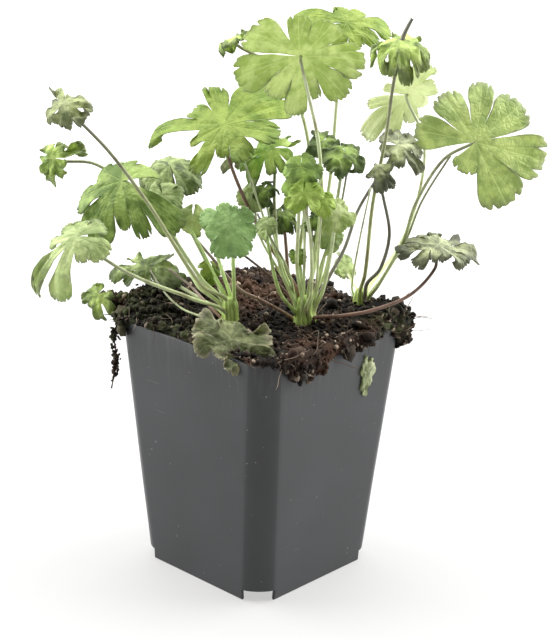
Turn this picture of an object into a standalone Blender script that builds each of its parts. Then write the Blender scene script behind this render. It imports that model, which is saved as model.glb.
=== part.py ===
"""Hardy geranium in a square nursery pot, in metres with +Z up.

The pot stands on the plane z = 0.  The plant is placed in coordinates that are
easy to read off it from one side: across (to the right), toward (to the front
corner) and height, all in millimetres from the pot's axis.  PHOTO_TURN turns
them onto the pot's walls, which run along X and Y.
"""

import math
from collections import namedtuple

import bpy
import numpy as np

MM = 0.001
PHOTO_TURN = math.radians(43.0)
POT_STAND = (-2.0, 1.5)

POT_TOP_HALF = 45.0
POT_BASE_HALF = 36.5
POT_HEIGHT = 110.0
POT_CORNER = 9.8
POT_WALL = 1.5
FLOOR_UNDER = 6.0
FLOOR_TOP = 7.8
NOTCH_HEIGHT = 5.0
NOTCH_PAST = 6.0
NOTCH_CORNER = 0.5
DRAIN_HOLE = 7.0
DRAIN_PLACE = 20.0
GAP = 0.3
CUT_PAST = 3.0

CORNER_STEPS = 4
SIDE_STEPS = 9
ROUND_STEPS = 12
DRAIN_STEPS = 18


def turned(across, toward, height):
    """A point in the pot's own frame from across, toward and height."""
    c, s = math.cos(PHOTO_TURN), math.sin(PHOTO_TURN)
    return np.array([across * c + toward * s, across * s - toward * c, height])


def material(name, colour, roughness):
    made = bpy.data.materials.new(name)
    made.use_nodes = True
    shader = made.node_tree.nodes["Principled BSDF"]
    shader.inputs["Base Color"].default_value = (*colour, 1.0)
    shader.inputs["Roughness"].default_value = roughness
    return made


def add_mesh(name, points, faces, finish, stand):
    """A named object from points in millimetres, standing where the pot stands."""
    mesh = bpy.data.meshes.new(name)
    mesh.from_pydata((np.asarray(points) * MM).tolist(), [], faces)
    mesh.update()
    piece = bpy.data.objects.new(name, mesh)
    bpy.context.collection.objects.link(piece)
    piece.data.materials.append(finish)
    piece.parent = stand
    return piece


def circle(radius, steps):
    """Points round a circle, counter-clockwise, as across and along pairs."""
    turn = np.radians(np.arange(steps) * 360.0 / steps)
    return np.stack([np.cos(turn), np.sin(turn)], axis=1) * radius


def at_height(ring, height):
    """A flat ring of pairs lifted to one height or to a height of its own for each point."""
    return np.column_stack([ring, np.broadcast_to(height, len(ring))])


def square_ring(half, corner):
    """A rounded square, counter-clockwise, with arcs of CORNER_STEPS at its corners."""
    turn = np.radians(np.linspace(0.0, 90.0, CORNER_STEPS + 1))
    arc = np.stack([np.cos(turn), np.sin(turn)], axis=1) * corner + (half - corner)
    along = np.linspace(0.0, 1.0, SIDE_STEPS + 1)[1:-1, None]
    side = arc[-1] + along * (np.array([-(half - corner), half]) - arc[-1])
    quarter = np.concatenate([arc, side])
    ring = [quarter]
    for _ in range(3):
        quarter = np.stack([-quarter[:, 1], quarter[:, 0]], axis=1)
        ring.append(quarter)
    return np.concatenate(ring)


def loft(rings):
    """Points and faces of a solid through rings of like count, closed at both ends."""
    count = len(rings[0])
    points = np.concatenate(rings)
    faces = [list(range(count))[::-1]]
    for level in range(len(rings) - 1):
        low = level * count
        for i in range(count):
            j = (i + 1) % count
            faces.append([low + i, low + j, low + count + j, low + count + i])
    top = (len(rings) - 1) * count
    faces.append([top + i for i in range(count)])
    return points, faces


def pot_half(height):
    """Half of the pot's width over its walls at a height."""
    return POT_BASE_HALF + (POT_TOP_HALF - POT_BASE_HALF) * height / POT_HEIGHT


def pot_ring(height, inset):
    return at_height(square_ring(pot_half(height) - inset, POT_CORNER - inset), height)


def cut(piece, cutter):
    bore = piece.modifiers.new(cutter.name, "BOOLEAN")
    bore.operation = "DIFFERENCE"
    bore.solver = "EXACT"
    bore.object = cutter
    cutter.hide_render = True
    cutter.display_type = "WIRE"


def build_pot(stand):
    """Thin square pot: tapered walls, raised floor, notched corners and drain holes."""
    plastic = material("pot_plastic", (0.10, 0.105, 0.11), 0.55)
    rings = [
        pot_ring(FLOOR_UNDER, POT_WALL),
        pot_ring(0.0, POT_WALL),
        pot_ring(0.0, 0.0),
        pot_ring(POT_HEIGHT, 0.0),
        pot_ring(POT_HEIGHT, POT_WALL),
        pot_ring(FLOOR_TOP, POT_WALL),
    ]
    pot = add_mesh("pot", *loft(rings), plastic, stand)
    for i, (sx, sy) in enumerate([(1, 1), (-1, 1), (-1, -1), (1, -1)]):
        reach = POT_CORNER + NOTCH_PAST
        middle = POT_BASE_HALF - POT_CORNER + reach / 2
        box = square_ring(reach / 2, NOTCH_CORNER) + np.array([sx, sy]) * middle
        levels = [at_height(box, z) for z in (-CUT_PAST, NOTCH_HEIGHT)]
        cut(pot, add_mesh(f"notch_cutter_{i}", *loft(levels), plastic, stand))
        hole = circle(DRAIN_HOLE / 2, DRAIN_STEPS) + np.array([sx, sy]) * DRAIN_PLACE
        levels = [at_height(hole, z) for z in (FLOOR_UNDER - CUT_PAST, FLOOR_TOP + CUT_PAST)]
        cut(pot, add_mesh(f"drain_cutter_{i}", *loft(levels), plastic, stand))


Bump = namedtuple("Bump", "across toward rise spread")
SOIL_LEVEL = 112.0
SOIL_BUMPS = [
    Bump(-48, -10, 9.0, 13),
    Bump(-10, -42, 3.0, 20),
    Bump(40, -16, 2.0, 16),
    Bump(53, 2, 4.5, 9),
    Bump(0, 56, -2.5, 16),
]

# Where soil hangs over the rim: heading round the pot and half width in degrees, how far
# it hangs below the rim and how far it bulges off the wall.  SPILL_MARGIN is the stretch
# beside each one, in degrees, on which the soil still reaches the rim's outer edge.
Spill = namedtuple("Spill", "heading width drop bulge")
SPILL_MARGIN = 10.0
SPILL_EASE = 8.0
SPILLS = [
    Spill(-22, 18, 12.5, 3.5),
    Spill(12, 20, 5.5, 2.6),
    Spill(45, 10, 11.0, 4.2),
    Spill(-135, 9, 5.0, 2.4),
    Spill(-165, 14, 2.0, 2.0),
    Spill(120, 20, 2.5, 2.2),
]

# Heights over the rim: of soil that stays inside, at its edge; of soil that goes over, at
# the wall's outer edge and on the wall's top.
EDGE_RISE = 0.4
LIP_RISE = 1.9
OVER_RIM_RISE = 0.9
FLAT_STEP = 0.05
SOIL_RINGS = (0.93, 0.8, 0.64, 0.46, 0.28, 0.12, 0.01)
SOCKET_TOP = 160.0


def soil_height(points):
    """Top of the soil: a level, the bumps as bell curves, and small waves as lumps."""
    c, s = math.cos(PHOTO_TURN), math.sin(PHOTO_TURN)
    x, y = points[:, 0], points[:, 1]
    across, toward = x * c + y * s, x * s - y * c
    height = np.full(len(points), SOIL_LEVEL)
    for b in SOIL_BUMPS:
        away = (across - b.across) ** 2 + (toward - b.toward) ** 2
        height += b.rise * np.exp(-away / (2 * b.spread**2))
    return height + 0.5 * np.sin(x / 3.1) * np.cos(y / 3.7) + 0.3 * np.sin(x / 1.9 + y / 2.3)


def spill_at(ring):
    """How far the soil is pushed over the rim, hangs down outside and bulges, round a ring."""
    heading = np.degrees(np.arctan2(ring[:, 1], ring[:, 0]))
    push, drop, bulge = (np.zeros(len(ring)) for _ in range(3))
    for s in SPILLS:
        away = np.abs((heading - s.heading + 180) % 360 - 180)
        over = np.clip(1.0 - (away / s.width) ** 2, 0.0, 1.0)
        reach = s.width + SPILL_MARGIN + SPILL_EASE
        push = np.maximum(push, np.clip((reach - away) / SPILL_EASE, 0.0, 1.0))
        drop = np.maximum(drop, over * s.drop)
        bulge = np.maximum(bulge, (0.3 + 0.7 * over) * s.bulge * (away < s.width + SPILL_MARGIN))
    return push, drop, bulge


def build_soil(stand, seats):
    """Root ball: fills the pot, is mounded on top and hangs over the rim in places."""
    peat = material("peat", (0.045, 0.028, 0.018), 0.95)
    inset = POT_WALL + GAP
    rings = [pot_ring(FLOOR_TOP + GAP, inset), pot_ring(POT_HEIGHT + GAP, inset)]
    inner = rings[1][:, :2]
    push, drop, bulge = spill_at(inner)
    rim = POT_HEIGHT + GAP

    def level(half_at, height):
        """A ring at its own height, its offset from the inner wall pushed out where soil spills."""
        outer = square_ring(1.0, POT_CORNER / POT_TOP_HALF) * half_at[:, None]
        place = inner + (outer - inner) * push[:, None]
        return at_height(place, height)

    top_half = np.full(len(inner), POT_TOP_HALF + GAP)
    foot = rim + 2 * EDGE_RISE * (1 - push) - drop
    foot_half = pot_half(foot) + GAP
    rings.append(level(top_half, rim + FLAT_STEP + EDGE_RISE * (1 - push)))
    rings.append(level(foot_half, foot))
    rings.append(level(foot_half + bulge, foot + 0.5 + 0.35 * drop))
    rings.append(level(top_half + bulge * 0.8, rim + LIP_RISE + 0.2 * bulge))
    crest = rings[-1][:, :2]
    for share in SOIL_RINGS:
        place = crest * share
        over_rim = np.abs(place).max(axis=1) > POT_TOP_HALF - 3 * POT_WALL
        height = np.maximum(soil_height(place), np.where(over_rim, rim + OVER_RIM_RISE, 0.0))
        rings.append(at_height(place, height))
    soil = add_mesh("root_ball", *loft(rings), peat, stand)
    soil.modifiers.new("flat_faces", "TRIANGULATE")
    for i, (place, radius) in enumerate(seats):
        socket = circle(radius + GAP, ROUND_STEPS) + place[:2]
        levels = [at_height(socket, z) for z in (place[2], SOCKET_TOP)]
        cut(soil, add_mesh(f"seat_cutter_{i}", *loft(levels), peat, stand))


Crown = namedtuple("Crown", "name across toward seat radius neck height")
CROWNS = [
    Crown("crown_left", -13, 15, 110.0, 5.0, 3.7, 14.0),
    Crown("crown_main", 18, 11, 109.5, 6.0, 4.8, 14.5),
    Crown("crown_right", 42, -8, 110.5, 4.5, 3.4, 11.5),
]

# A crown keeps its radius up to its shoulder, then narrows to its neck, just under its top.
SHOULDER_SHARE = 0.35
SHOULDER_TAPER = 0.92
NECK_SHARE = 0.97
TOP_TAPER = 0.9


def build_crowns(stand):
    """Short fleshy rootstocks that stand in sockets in the soil and carry the leaf stalks."""
    flesh = material("crown_flesh", (0.30, 0.48, 0.10), 0.5)
    for c in CROWNS:
        place = turned(c.across, c.toward, c.seat + GAP)
        profile = [
            (0.0, c.radius),
            (SHOULDER_SHARE, c.radius * SHOULDER_TAPER),
            (NECK_SHARE, c.neck),
            (1.0, c.neck * TOP_TAPER),
        ]
        rings = []
        for share, radius in profile:
            ring = circle(radius, ROUND_STEPS) + place[:2]
            rings.append(at_height(ring, place[2] + share * c.height))
        add_mesh(c.name, *loft(rings), flesh, stand)


# One leaf.  at: where the stalk meets the blade; face: which way its upper side looks;
# mid: which way its middle lobe points; droop: how far the edge bends away from face,
# in degrees; lean: extra bend of the middle lobe; crown, heading and level: where the
# stalk leaves its crown, in degrees round it and millimetres above its seat; via: points
# that the stalk passes.  Places and directions are (across, toward, height).
Leaf = namedtuple("Leaf", "name at face mid radius lobes cut droop lean crown heading level via")

LEAVES = [
    Leaf("far_left", (-82, 24, 206), (-0.45, 0.15, 0.88), (-0.6, 0.3, 0.2), 17, 7, 0.55, 85, 10,
         0, 150, 15, [(-25, 22, 131), (-46, 20, 163), (-62, 21, 182)]),
    Leaf("left_cup", (-92, -20, 175), (-0.8, 0.25, 0.5), (-0.4, 0.1, -0.8), 16, 5, 0.55, 70, 0,
         0, 195, 10, [(-27, 10, 127), (-46, -24, 150), (-72, -23, 171)]),
    Leaf("left_big", (-59, 4, 167), (-0.25, 0.35, 0.9), (-0.8, 0.5, -0.1), 27, 7, 0.55, 70, 0,
         0, 185, 13, [(-25, 12, 130), (-42, 5, 152)]),
    Leaf("left_back", (-44, -24, 172), (-0.05, 0.1, 0.99), (-0.3, -0.9, 0.1), 20, 7, 0.5, 75, 0,
         0, 230, 10, [(-19, 4, 126), (-33, -12, 148)]),
    Leaf("left_inner", (-33, -4, 152), (0.1, 0.75, 0.6), (-0.1, 0.7, -0.7), 13, 5, 0.5, 55, 0,
         0, 270, 15, [(-16, 8, 130), (-26, -10, 145)]),
    Leaf("blue_green", (-14, 24, 158), (0.05, 0.85, 0.5), (0.1, 0.5, -0.85), 14, 5, 0.35, 35, 0,
         0, 40, 15, [(-12, 17, 135), (-13, 16, 150)]),
    Leaf("left_low", (-78, 33, 151), (-0.3, 0.45, 0.82), (-0.85, 0.2, -0.4), 24, 5, 0.6, 75, 15,
         0, 130, 9, [(-28, 28, 127), (-53, 32, 138)]),
    Leaf("soil_low", (-50, -12, 131), (0.0, 0.3, 0.95), (-0.5, 0.8, 0.0), 17, 5, 0.55, 25, 0,
         0, 215, 6, [(-26, 4, 121), (-38, -7, 125)]),
    Leaf("mid_left_top", (-20, -6, 196), (-0.15, 0.35, 0.92), (-0.9, 0.3, -0.1), 33, 7, 0.55, 35, 0,
         1, 200, 15, [(10, 5, 132), (-2, 3, 150), (-12, 0, 170), (-19, -4, 186)]),
    Leaf("top_big", (13, 8, 223), (0.0, -0.85, 0.5), (-0.7, 0.1, 0.3), 31, 7, 0.5, 22, 0,
         1, 60, 15, [(21, 14, 140), (23, 14, 166), (21, 16, 190), (17, 17, 211)]),
    Leaf("top_second", (30, -34, 235), (0.2, -0.3, 0.93), (0.9, 0.2, 0.1), 27, 7, 0.55, 40, 0,
         1, 290, 15, [(22, 4, 138), (27, -10, 169), (27, -24, 200)]),
    Leaf("top_small", (-14, -28, 226), (-0.4, -0.3, 0.8), (-0.8, 0.3, -0.2), 9, 5, 0.5, 60, 0,
         1, 245, 10, [(15, -2, 136), (18, -16, 179), (6, -26, 210)]),
    Leaf("right_fold", (53, 2, 231), (-0.1, 0.2, 0.95), (-0.6, 0.6, 0.0), 19, 7, 0.55, 95, 0,
         2, 110, 12.5, [(43, -3, 130), (46, -5, 160), (49, -3, 189), (52, 0, 213)]),
    Leaf("back_pale", (58, -46, 196), (0.1, -0.95, 0.3), (-0.5, 0.2, 0.6), 22, 7, 0.55, 30, 0,
         2, 300, 7, [(48, -18, 123), (59, -32, 134), (67, -40, 156), (68, -42, 179)]),
    Leaf("right_big", (85, 17, 194), (0.1, 0.85, 0.5), (0.85, 0.1, -0.4), 31, 7, 0.5, 20, 0,
         2, 20, 7, [(49, -4, 125), (58, 2, 146), (62, 7, 164), (72, 9, 183)]),
    Leaf("right_dry", (73, 8, 147), (0.1, 0.2, 0.95), (0.9, 0.3, 0.0), 19, 5, 0.6, 35, 0,
         1, 45, 6, [(33, 18, 118), (46, 18, 121), (61, 15, 127), (71, 10, 135)]),
    Leaf("right_grey", (49, -22, 178), (-0.35, 0.3, 0.88), (0.8, 0.5, 0.3), 18, 7, 0.6, 35, 0,
         1, 320, 9, [(28, 1, 130), (34, -6, 140), (41, -16, 155)]),
    Leaf("right_curl", (49, 4, 169), (0.5, 0.5, 0.6), (0.5, 0.3, -0.8), 8, 5, 0.6, 40, 0,
         2, 60, 9, [(44, -2, 126), (48, 2, 134), (52, 3, 149)]),
    Leaf("centre_dark", (33, 4, 183), (0.15, 0.6, 0.75), (0.2, 0.8, -0.5), 10, 5, 0.4, 45, 0,
         1, 350, 15, [(26, 9, 134), (29, 6, 158)]),
    Leaf("centre_green", (13, 24, 181), (-0.1, 0.75, 0.6), (-0.1, 0.6, -0.75), 14, 5, 0.45, 45, 0,
         1, 130, 15, [(14, 16, 138), (14, 19, 160)]),
    Leaf("centre_bright", (21, 35, 166), (0.0, 0.9, 0.4), (0.0, 0.3, -0.9), 9, 5, 0.4, 30, 0,
         1, 90, 11, [(21, 22, 128), (22, 27, 150)]),
    Leaf("centre_pale", (31, 22, 158), (0.1, 0.8, 0.6), (0.3, 0.6, -0.7), 8, 5, 0.45, 40, 0,
         1, 20, 10, [(28, 15, 128), (31, 17, 146)]),
    Leaf("centre_fold", (3, -8, 183), (-0.3, 0.4, 0.85), (-0.7, 0.6, -0.3), 17, 5, 0.5, 60, 0,
         1, 165, 11, [(7, 9, 136), (5, 0, 160)]),
    Leaf("low_pale", (-1, 12, 157), (-0.2, 0.75, 0.6), (-0.4, 0.6, -0.6), 8, 5, 0.45, 35, 0,
         1, 150, 7, [(7, 15, 127), (2, 10, 145)]),
    Leaf("low_dark", (9, -4, 155), (0.0, 0.5, 0.85), (0.2, 0.8, -0.2), 10, 5, 0.55, 50, 0,
         1, 225, 6, [(11, 2, 128), (10, -3, 144)]),
]

# Leaves that have come off and lie where they fell: one over the front rim, one on the left.
FALLEN = [
    Leaf("on_front_rim", (-12, 40, 122.2), (-0.05, 0.12, 0.99), (-0.1, 1.0, 0.0), 19, 5, 0.35, 42, 20,
         None, 0, 0, []),
    Leaf("on_left_rim", (-67.4, -3, 117.6), (-0.5, 0.2, 0.85), (-0.7, 0.4, -0.3), 11, 5, 0.5, 75, 0,
         None, 0, 0, []),
]

STRAND_RADIUS = 0.8
STRAND = [(-61.6, 2, 105.9), (-62.4, 2.4, 99), (-61.6, 2, 91), (-62.6, 1.6, 84), (-63.8, 2, 77)]
SCRAP_AT = (18.0, 92.0)
SCRAP_SIZE = (3.2, 7.5)
SCRAP_THICKNESS = 0.7
SCRAP_WAVE = 0.22


def unit(v):
    return v / np.linalg.norm(v)


def leaf_axes(leaf):
    """The blade's middle-lobe, side and upper directions in the pot's frame."""
    up = unit(turned(*leaf.face))
    mid = turned(*leaf.mid)
    mid = unit(mid - up * (mid @ up))
    return mid, np.cross(up, mid), up


BLADE_THICKNESS = 0.8
SPOKES_PER_LOBE = 4
BLADE_RINGS = 3
STALK_OPENING = 0.35
LOBE_SHORTENING = 0.28


def leaf_outline(leaf, angle):
    """How far the blade reaches at each angle from its middle lobe: broad lobes with
    narrow cuts between them, each shorter than the last towards the opening at the stalk,
    which is STALK_OPENING of a lobe wide."""
    place = np.degrees(angle) * (leaf.lobes + STALK_OPENING) / 360.0
    across_lobe = np.abs(place - np.clip(np.round(place), -(leaf.lobes // 2), leaf.lobes // 2)) * 2
    reach = 1.0 - LOBE_SHORTENING * (np.abs(angle) / math.pi) ** 1.5
    return leaf.radius * reach * (1.0 - leaf.cut * np.clip(across_lobe, 0.0, 1.0) ** 4)


def blade_points(leaf):
    """A fan of rings.  A point goes out along its angle on an arc that bends away from
    the upper side, by droop at the full radius and by lean more at the middle lobe."""
    spokes = leaf.lobes * SPOKES_PER_LOBE
    angle = (np.arange(spokes) / spokes * 2 - 1) * math.pi
    reach = leaf_outline(leaf, angle)
    bend = np.radians(leaf.droop + leaf.lean * np.cos(angle)) / leaf.radius
    mid, side, up = leaf_axes(leaf)
    heading = np.cos(angle)[:, None] * mid + np.sin(angle)[:, None] * side
    at = turned(*leaf.at)
    points = [at[None, :]]
    for ring in range(1, BLADE_RINGS + 1):
        along = reach * ring / BLADE_RINGS
        out = np.sin(bend * along) / bend
        down = (1 - np.cos(bend * along)) / bend
        points.append(at + heading * out[:, None] - up * down[:, None])
    return np.concatenate(points), spokes


def build_blade(leaf, finish, stand):
    """Blade as a lobed, bent disc with a little thickness."""
    points, spokes = blade_points(leaf)
    faces = [[0, 1 + i, 1 + (i + 1) % spokes] for i in range(spokes)]
    for ring in range(BLADE_RINGS - 1):
        low = 1 + ring * spokes
        for i in range(spokes):
            j = (i + 1) % spokes
            faces.append([low + i, low + spokes + i, low + spokes + j, low + j])
    blade = add_mesh(f"blade_{leaf.name}", points, faces, finish, stand)
    wall = blade.modifiers.new("thickness", "SOLIDIFY")
    wall.thickness = BLADE_THICKNESS * MM
    wall.offset = 0.0
    return blade


STALK_RADIUS = 0.8
STALK_STEPS = 3
STALK_FLARE = 1.15
STALK_TAPER = 0.75
STALK_GAP = 0.4
TOP_PLACE = 0.6
TIP_RUN = 3.5
TIP_RUN_SHARE = 0.35
SAG_SPARE = 1.5


def smooth_path(knots, steps):
    """A curve through the knots: its direction at each is the chord past it, and each
    stretch is a cubic as long as the gap it fills, so that short stretches don't loop."""
    knots = np.array([2 * knots[0] - knots[1], *knots, 2 * knots[-1] - knots[-2]])
    gaps = np.linalg.norm(np.diff(knots, axis=0), axis=1)
    slopes = (knots[2:] - knots[:-2]) / (gaps[1:] + gaps[:-1])[:, None]
    u = (np.arange(steps) / steps)[:, None]
    path = []
    for i, gap in enumerate(gaps[1:-1]):
        start, end = knots[i + 1], knots[i + 2]
        leave, arrive = slopes[i] * gap, slopes[i + 1] * gap
        rise = start + (end - start) * (3 * u**2 - 2 * u**3)
        path.append(rise + leave * (u - 2 * u**2 + u**3) + arrive * (u**3 - u**2))
    return np.concatenate([*path, knots[-2:-1]])


def crown_radius(crown, level):
    """A crown's radius at a level above its seat, narrowing from its shoulder to its neck."""
    shoulder = crown.radius * SHOULDER_TAPER
    share = max(min(level / crown.height, 1.0) - SHOULDER_SHARE, 0.0)
    return shoulder + (crown.neck - shoulder) * share / (NECK_SHARE - SHOULDER_SHARE)


def stalk_start(leaf):
    """The middle of a stalk's foot, so that its rim is a little off the crown's side or top."""
    crown = CROWNS[leaf.crown]
    turn = math.radians(leaf.heading)
    way = turned(math.cos(turn), math.sin(turn), 0.0)
    up = np.array([0.0, 0.0, 1.0])
    axis = turned(crown.across, crown.toward, crown.seat)
    foot = STALK_RADIUS * STALK_FLARE
    if leaf.level > crown.height:
        start = axis + way * crown.neck * TOP_PLACE
        slope = unit(turned(*leaf.via[0]) - start - up * crown.height) @ up
        return start + up * (crown.height + 2 * GAP + foot * math.sqrt(1 - slope**2))
    start = axis + way * crown_radius(crown, leaf.level) + up * leaf.level
    slope = unit(turned(*leaf.via[0]) - start) @ way
    return start + way * (STALK_GAP + foot * math.sqrt(1 - slope**2))


def stalk_knots(leaf):
    """From the crown's surface by the via points to just under the blade, whose flat faces
    sag below its middle by less than SAG_SPARE sags."""
    up = leaf_axes(leaf)[2]
    tip = STALK_RADIUS * STALK_TAPER
    sag = tip * math.tan(math.radians(leaf.droop + abs(leaf.lean)) / BLADE_RINGS / 2)
    under = turned(*leaf.at) - up * (BLADE_THICKNESS / 2 + STALK_GAP + SAG_SPARE * sag)
    near = under - up * min(TIP_RUN, leaf.radius * TIP_RUN_SHARE)
    return [stalk_start(leaf), *(turned(*v) for v in leaf.via), near, under]


def add_tube(name, path, radius, shares, finish, stand):
    """A six-sided tube along a path, its radius times a share at each point."""
    curve = bpy.data.curves.new(name, "CURVE")
    curve.dimensions = "3D"
    curve.bevel_depth = radius * MM
    curve.bevel_resolution = 1
    curve.use_fill_caps = True
    line = curve.splines.new("POLY")
    line.points.add(len(path) - 1)
    for point, place, share in zip(line.points, path, shares):
        point.co = (*(place * MM), 1.0)
        point.radius = share
    tube = bpy.data.objects.new(name, curve)
    bpy.context.collection.objects.link(tube)
    curve.materials.append(finish)
    tube.parent = stand


def build_stalk(leaf, finish, stand):
    """Leaf stalk: a tube along its path, a little thicker at its foot."""
    path = smooth_path(stalk_knots(leaf), STALK_STEPS)
    shares = np.linspace(STALK_FLARE, STALK_TAPER, len(path))
    add_tube(f"stalk_{leaf.name}", path, STALK_RADIUS, shares, finish, stand)


def build_strand(stand):
    """A dry rootlet that hangs from the soil's lip at the left corner, thick where peat clings."""
    dry = material("dry_root", (0.16, 0.13, 0.10), 0.9)
    path = smooth_path([turned(*p) for p in STRAND], STALK_STEPS)
    shares = 1.0 + 0.4 * np.sin(np.arange(len(path)) * 1.9)
    add_tube("root_strand", path, STRAND_RADIUS, shares, dry, stand)


def build_scrap(stand):
    """A dried leaf scrap stuck flat on the right wall, an uneven oval with a little thickness."""
    dry = material("dry_scrap", (0.42, 0.44, 0.22), 0.8)
    oval = circle(1.0, ROUND_STEPS)
    turn = np.arctan2(oval[:, 1], oval[:, 0])
    wave = 1.0 + SCRAP_WAVE * np.sin(3 * turn + 0.6)
    y = SCRAP_AT[0] + SCRAP_SIZE[0] * wave * oval[:, 0]
    z = SCRAP_AT[1] + SCRAP_SIZE[1] * wave * oval[:, 1]
    rings = [np.column_stack([pot_half(z) + off, y, z]) for off in (GAP, GAP + SCRAP_THICKNESS)]
    add_mesh("wall_scrap", *loft(rings), dry, stand)


def main():
    for old in list(bpy.data.objects):
        bpy.data.objects.remove(old)
    stand = bpy.data.objects.new("stand", None)
    bpy.context.collection.objects.link(stand)
    stand.location = (POT_STAND[0] * MM, POT_STAND[1] * MM, 0.0)
    build_pot(stand)
    seats = [(turned(c.across, c.toward, c.seat), c.radius) for c in CROWNS]
    build_soil(stand, seats)
    build_crowns(stand)
    blade_green = material("leaf_green", (0.25, 0.42, 0.10), 0.5)
    stalk_green = material("stalk_green", (0.30, 0.42, 0.16), 0.5)
    for leaf in LEAVES:
        build_blade(leaf, blade_green, stand)
        build_stalk(leaf, stalk_green, stand)
    fallen_brown = material("fallen_leaf", (0.28, 0.30, 0.16), 0.8)
    for leaf in FALLEN:
        build_blade(leaf, fallen_brown, stand)
    build_strand(stand)
    build_scrap(stand)


main()
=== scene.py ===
"""Hardy geranium in its square nursery pot: the looks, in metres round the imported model.

The sections follow the object as it is put together: the camera's place, the pot, the root
ball with its crumbs and rootlets, the crowns, the leaves with their stalks, and what came
off the plant.  Places on the plant are (across, toward, height) in millimetres from the
pot's axis, as they are read from the photo's side.
"""

import math
from collections import namedtuple
from itertools import combinations

import bmesh
import bpy
import numpy as np
from mathutils import Matrix


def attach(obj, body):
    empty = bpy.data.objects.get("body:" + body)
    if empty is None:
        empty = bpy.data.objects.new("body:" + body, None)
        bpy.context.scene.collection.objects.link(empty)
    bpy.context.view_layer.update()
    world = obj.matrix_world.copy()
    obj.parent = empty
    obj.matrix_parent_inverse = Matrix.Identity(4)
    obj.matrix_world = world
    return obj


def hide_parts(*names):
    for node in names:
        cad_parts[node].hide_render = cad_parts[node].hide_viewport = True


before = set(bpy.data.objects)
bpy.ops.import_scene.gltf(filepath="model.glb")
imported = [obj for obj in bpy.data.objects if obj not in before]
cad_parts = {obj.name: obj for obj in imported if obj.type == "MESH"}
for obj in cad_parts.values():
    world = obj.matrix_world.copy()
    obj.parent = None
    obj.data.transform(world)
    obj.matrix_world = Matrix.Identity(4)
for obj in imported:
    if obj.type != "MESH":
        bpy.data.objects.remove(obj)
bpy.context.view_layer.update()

# The view: the camera looks a little down on the pot's front corner.  Its distance, aim and
# roll, in millimetres and degrees, are the ones that lay the pot's edges on the photo's.
MM = 0.001
POT_STAND = np.array([-2.0, 1.5, 0.0])
VIEW_HEADING = math.radians(42.92)
VIEW_ABOVE = math.radians(18.95)
VIEW_ROLL = math.radians(1.579)
VIEW_AWAY = 731.2
AIM_HEIGHT = 109.28
AIM_ASIDE = 6.584
LENS = 96.99
SENSOR = 36.0


def stand_camera():
    """From the aim: turned round, tipped down, moved aside and back, then rolled."""
    aim = Matrix.Translation((POT_STAND + [0, 0, AIM_HEIGHT]) * MM)
    facing = Matrix.Rotation(VIEW_HEADING, 4, "Z") @ Matrix.Rotation(math.pi / 2 - VIEW_ABOVE, 4, "X")
    away = Matrix.Translation(np.array([AIM_ASIDE, 0, VIEW_AWAY]) * MM)
    eye = bpy.data.objects.new("camera", bpy.data.cameras.new("camera"))
    bpy.context.collection.objects.link(eye)
    eye.data.lens = LENS
    eye.data.sensor_width = SENSOR
    eye.data.clip_start = 10 * MM
    eye.matrix_world = aim @ facing @ away @ Matrix.Rotation(VIEW_ROLL, 4, "Z")
    bpy.context.scene.camera = eye


stand_camera()


# The pot is one sheet of dark grey plastic drawn into a square mould: thin tapered walls that
# spring in and out a little, a raised floor with drain holes, and a notch at each foot corner.
POT_TOP_HALF = 45.0
POT_BASE_HALF = 36.5
POT_HEIGHT = 110.0
POT_CORNER = 9.8
POT_WALL = 1.5
FLOOR_UNDER = 6.0
FLOOR_TOP = 7.8
NOTCH_HEIGHT = 5.0
DRAIN_HOLE = 7.0
DRAIN_PLACE = 20.0
GAP = 0.3
POT_EDGE = 0.45
NOTCH_REACH = POT_CORNER + 6.0
NOTCH_EASE = 1.2
NOTCH_CUT = (-3.0, NOTCH_HEIGHT)
DRAIN_CUT = (3.0, 11.0)
SHARP_FROM = 38.0
SPRING = 0.35
CORNER_STEPS = 18
CORNER_POWER = 1.45
SIDE_STEPS = 30
LATTICE = 24
POT_GREY = (0.0225, 0.0235, 0.0255)
POT_HAZE = (0.033, 0.0345, 0.037)
POT_SHADED = (0.012, 0.013, 0.014)
DRIED_SOIL = (0.20, 0.20, 0.18)
SCRATCHED = (0.16, 0.16, 0.16)
SPECK = (0.30, 0.28, 0.25)


def turns(count):
    """Even steps round a full turn."""
    return np.arange(count) * (2 * math.pi / count)


def circle(radius, steps):
    """Cosine and sine of each step's turn, times the radius."""
    return np.stack([np.cos(turns(steps)), np.sin(turns(steps))], axis=1) * radius


def square_ring(half, corner, corner_steps=CORNER_STEPS, side_steps=SIDE_STEPS):
    """A square with eased corners: a quarter of |x|^p + |y|^p = 1, flatter than a circle, and
    a straight run, carried round by three quarter turns."""
    turn = np.radians(np.linspace(0.0, 90.0, corner_steps + 1))
    arc = np.stack([np.cos(turn), np.sin(turn)], axis=1) ** (2 / CORNER_POWER) * corner + (half - corner)
    along = np.linspace(0.0, 1.0, side_steps + 1)[1:-1, None]
    side = arc[-1] + along * (np.array([-(half - corner), half]) - arc[-1])
    quarter = np.concatenate([arc, side])
    ring = [quarter]
    for _ in range(3):
        quarter = np.stack([-quarter[:, 1], quarter[:, 0]], axis=1)
        ring.append(quarter)
    return np.concatenate(ring)


def pot_half(height):
    """Half of the pot's width over its walls at a height."""
    return POT_BASE_HALF + (POT_TOP_HALF - POT_BASE_HALF) * height / POT_HEIGHT


def at_height(ring, height):
    """A flat ring lifted to one height, or each of its points to its own."""
    return np.column_stack([ring, np.broadcast_to(height, len(ring))])


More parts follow.
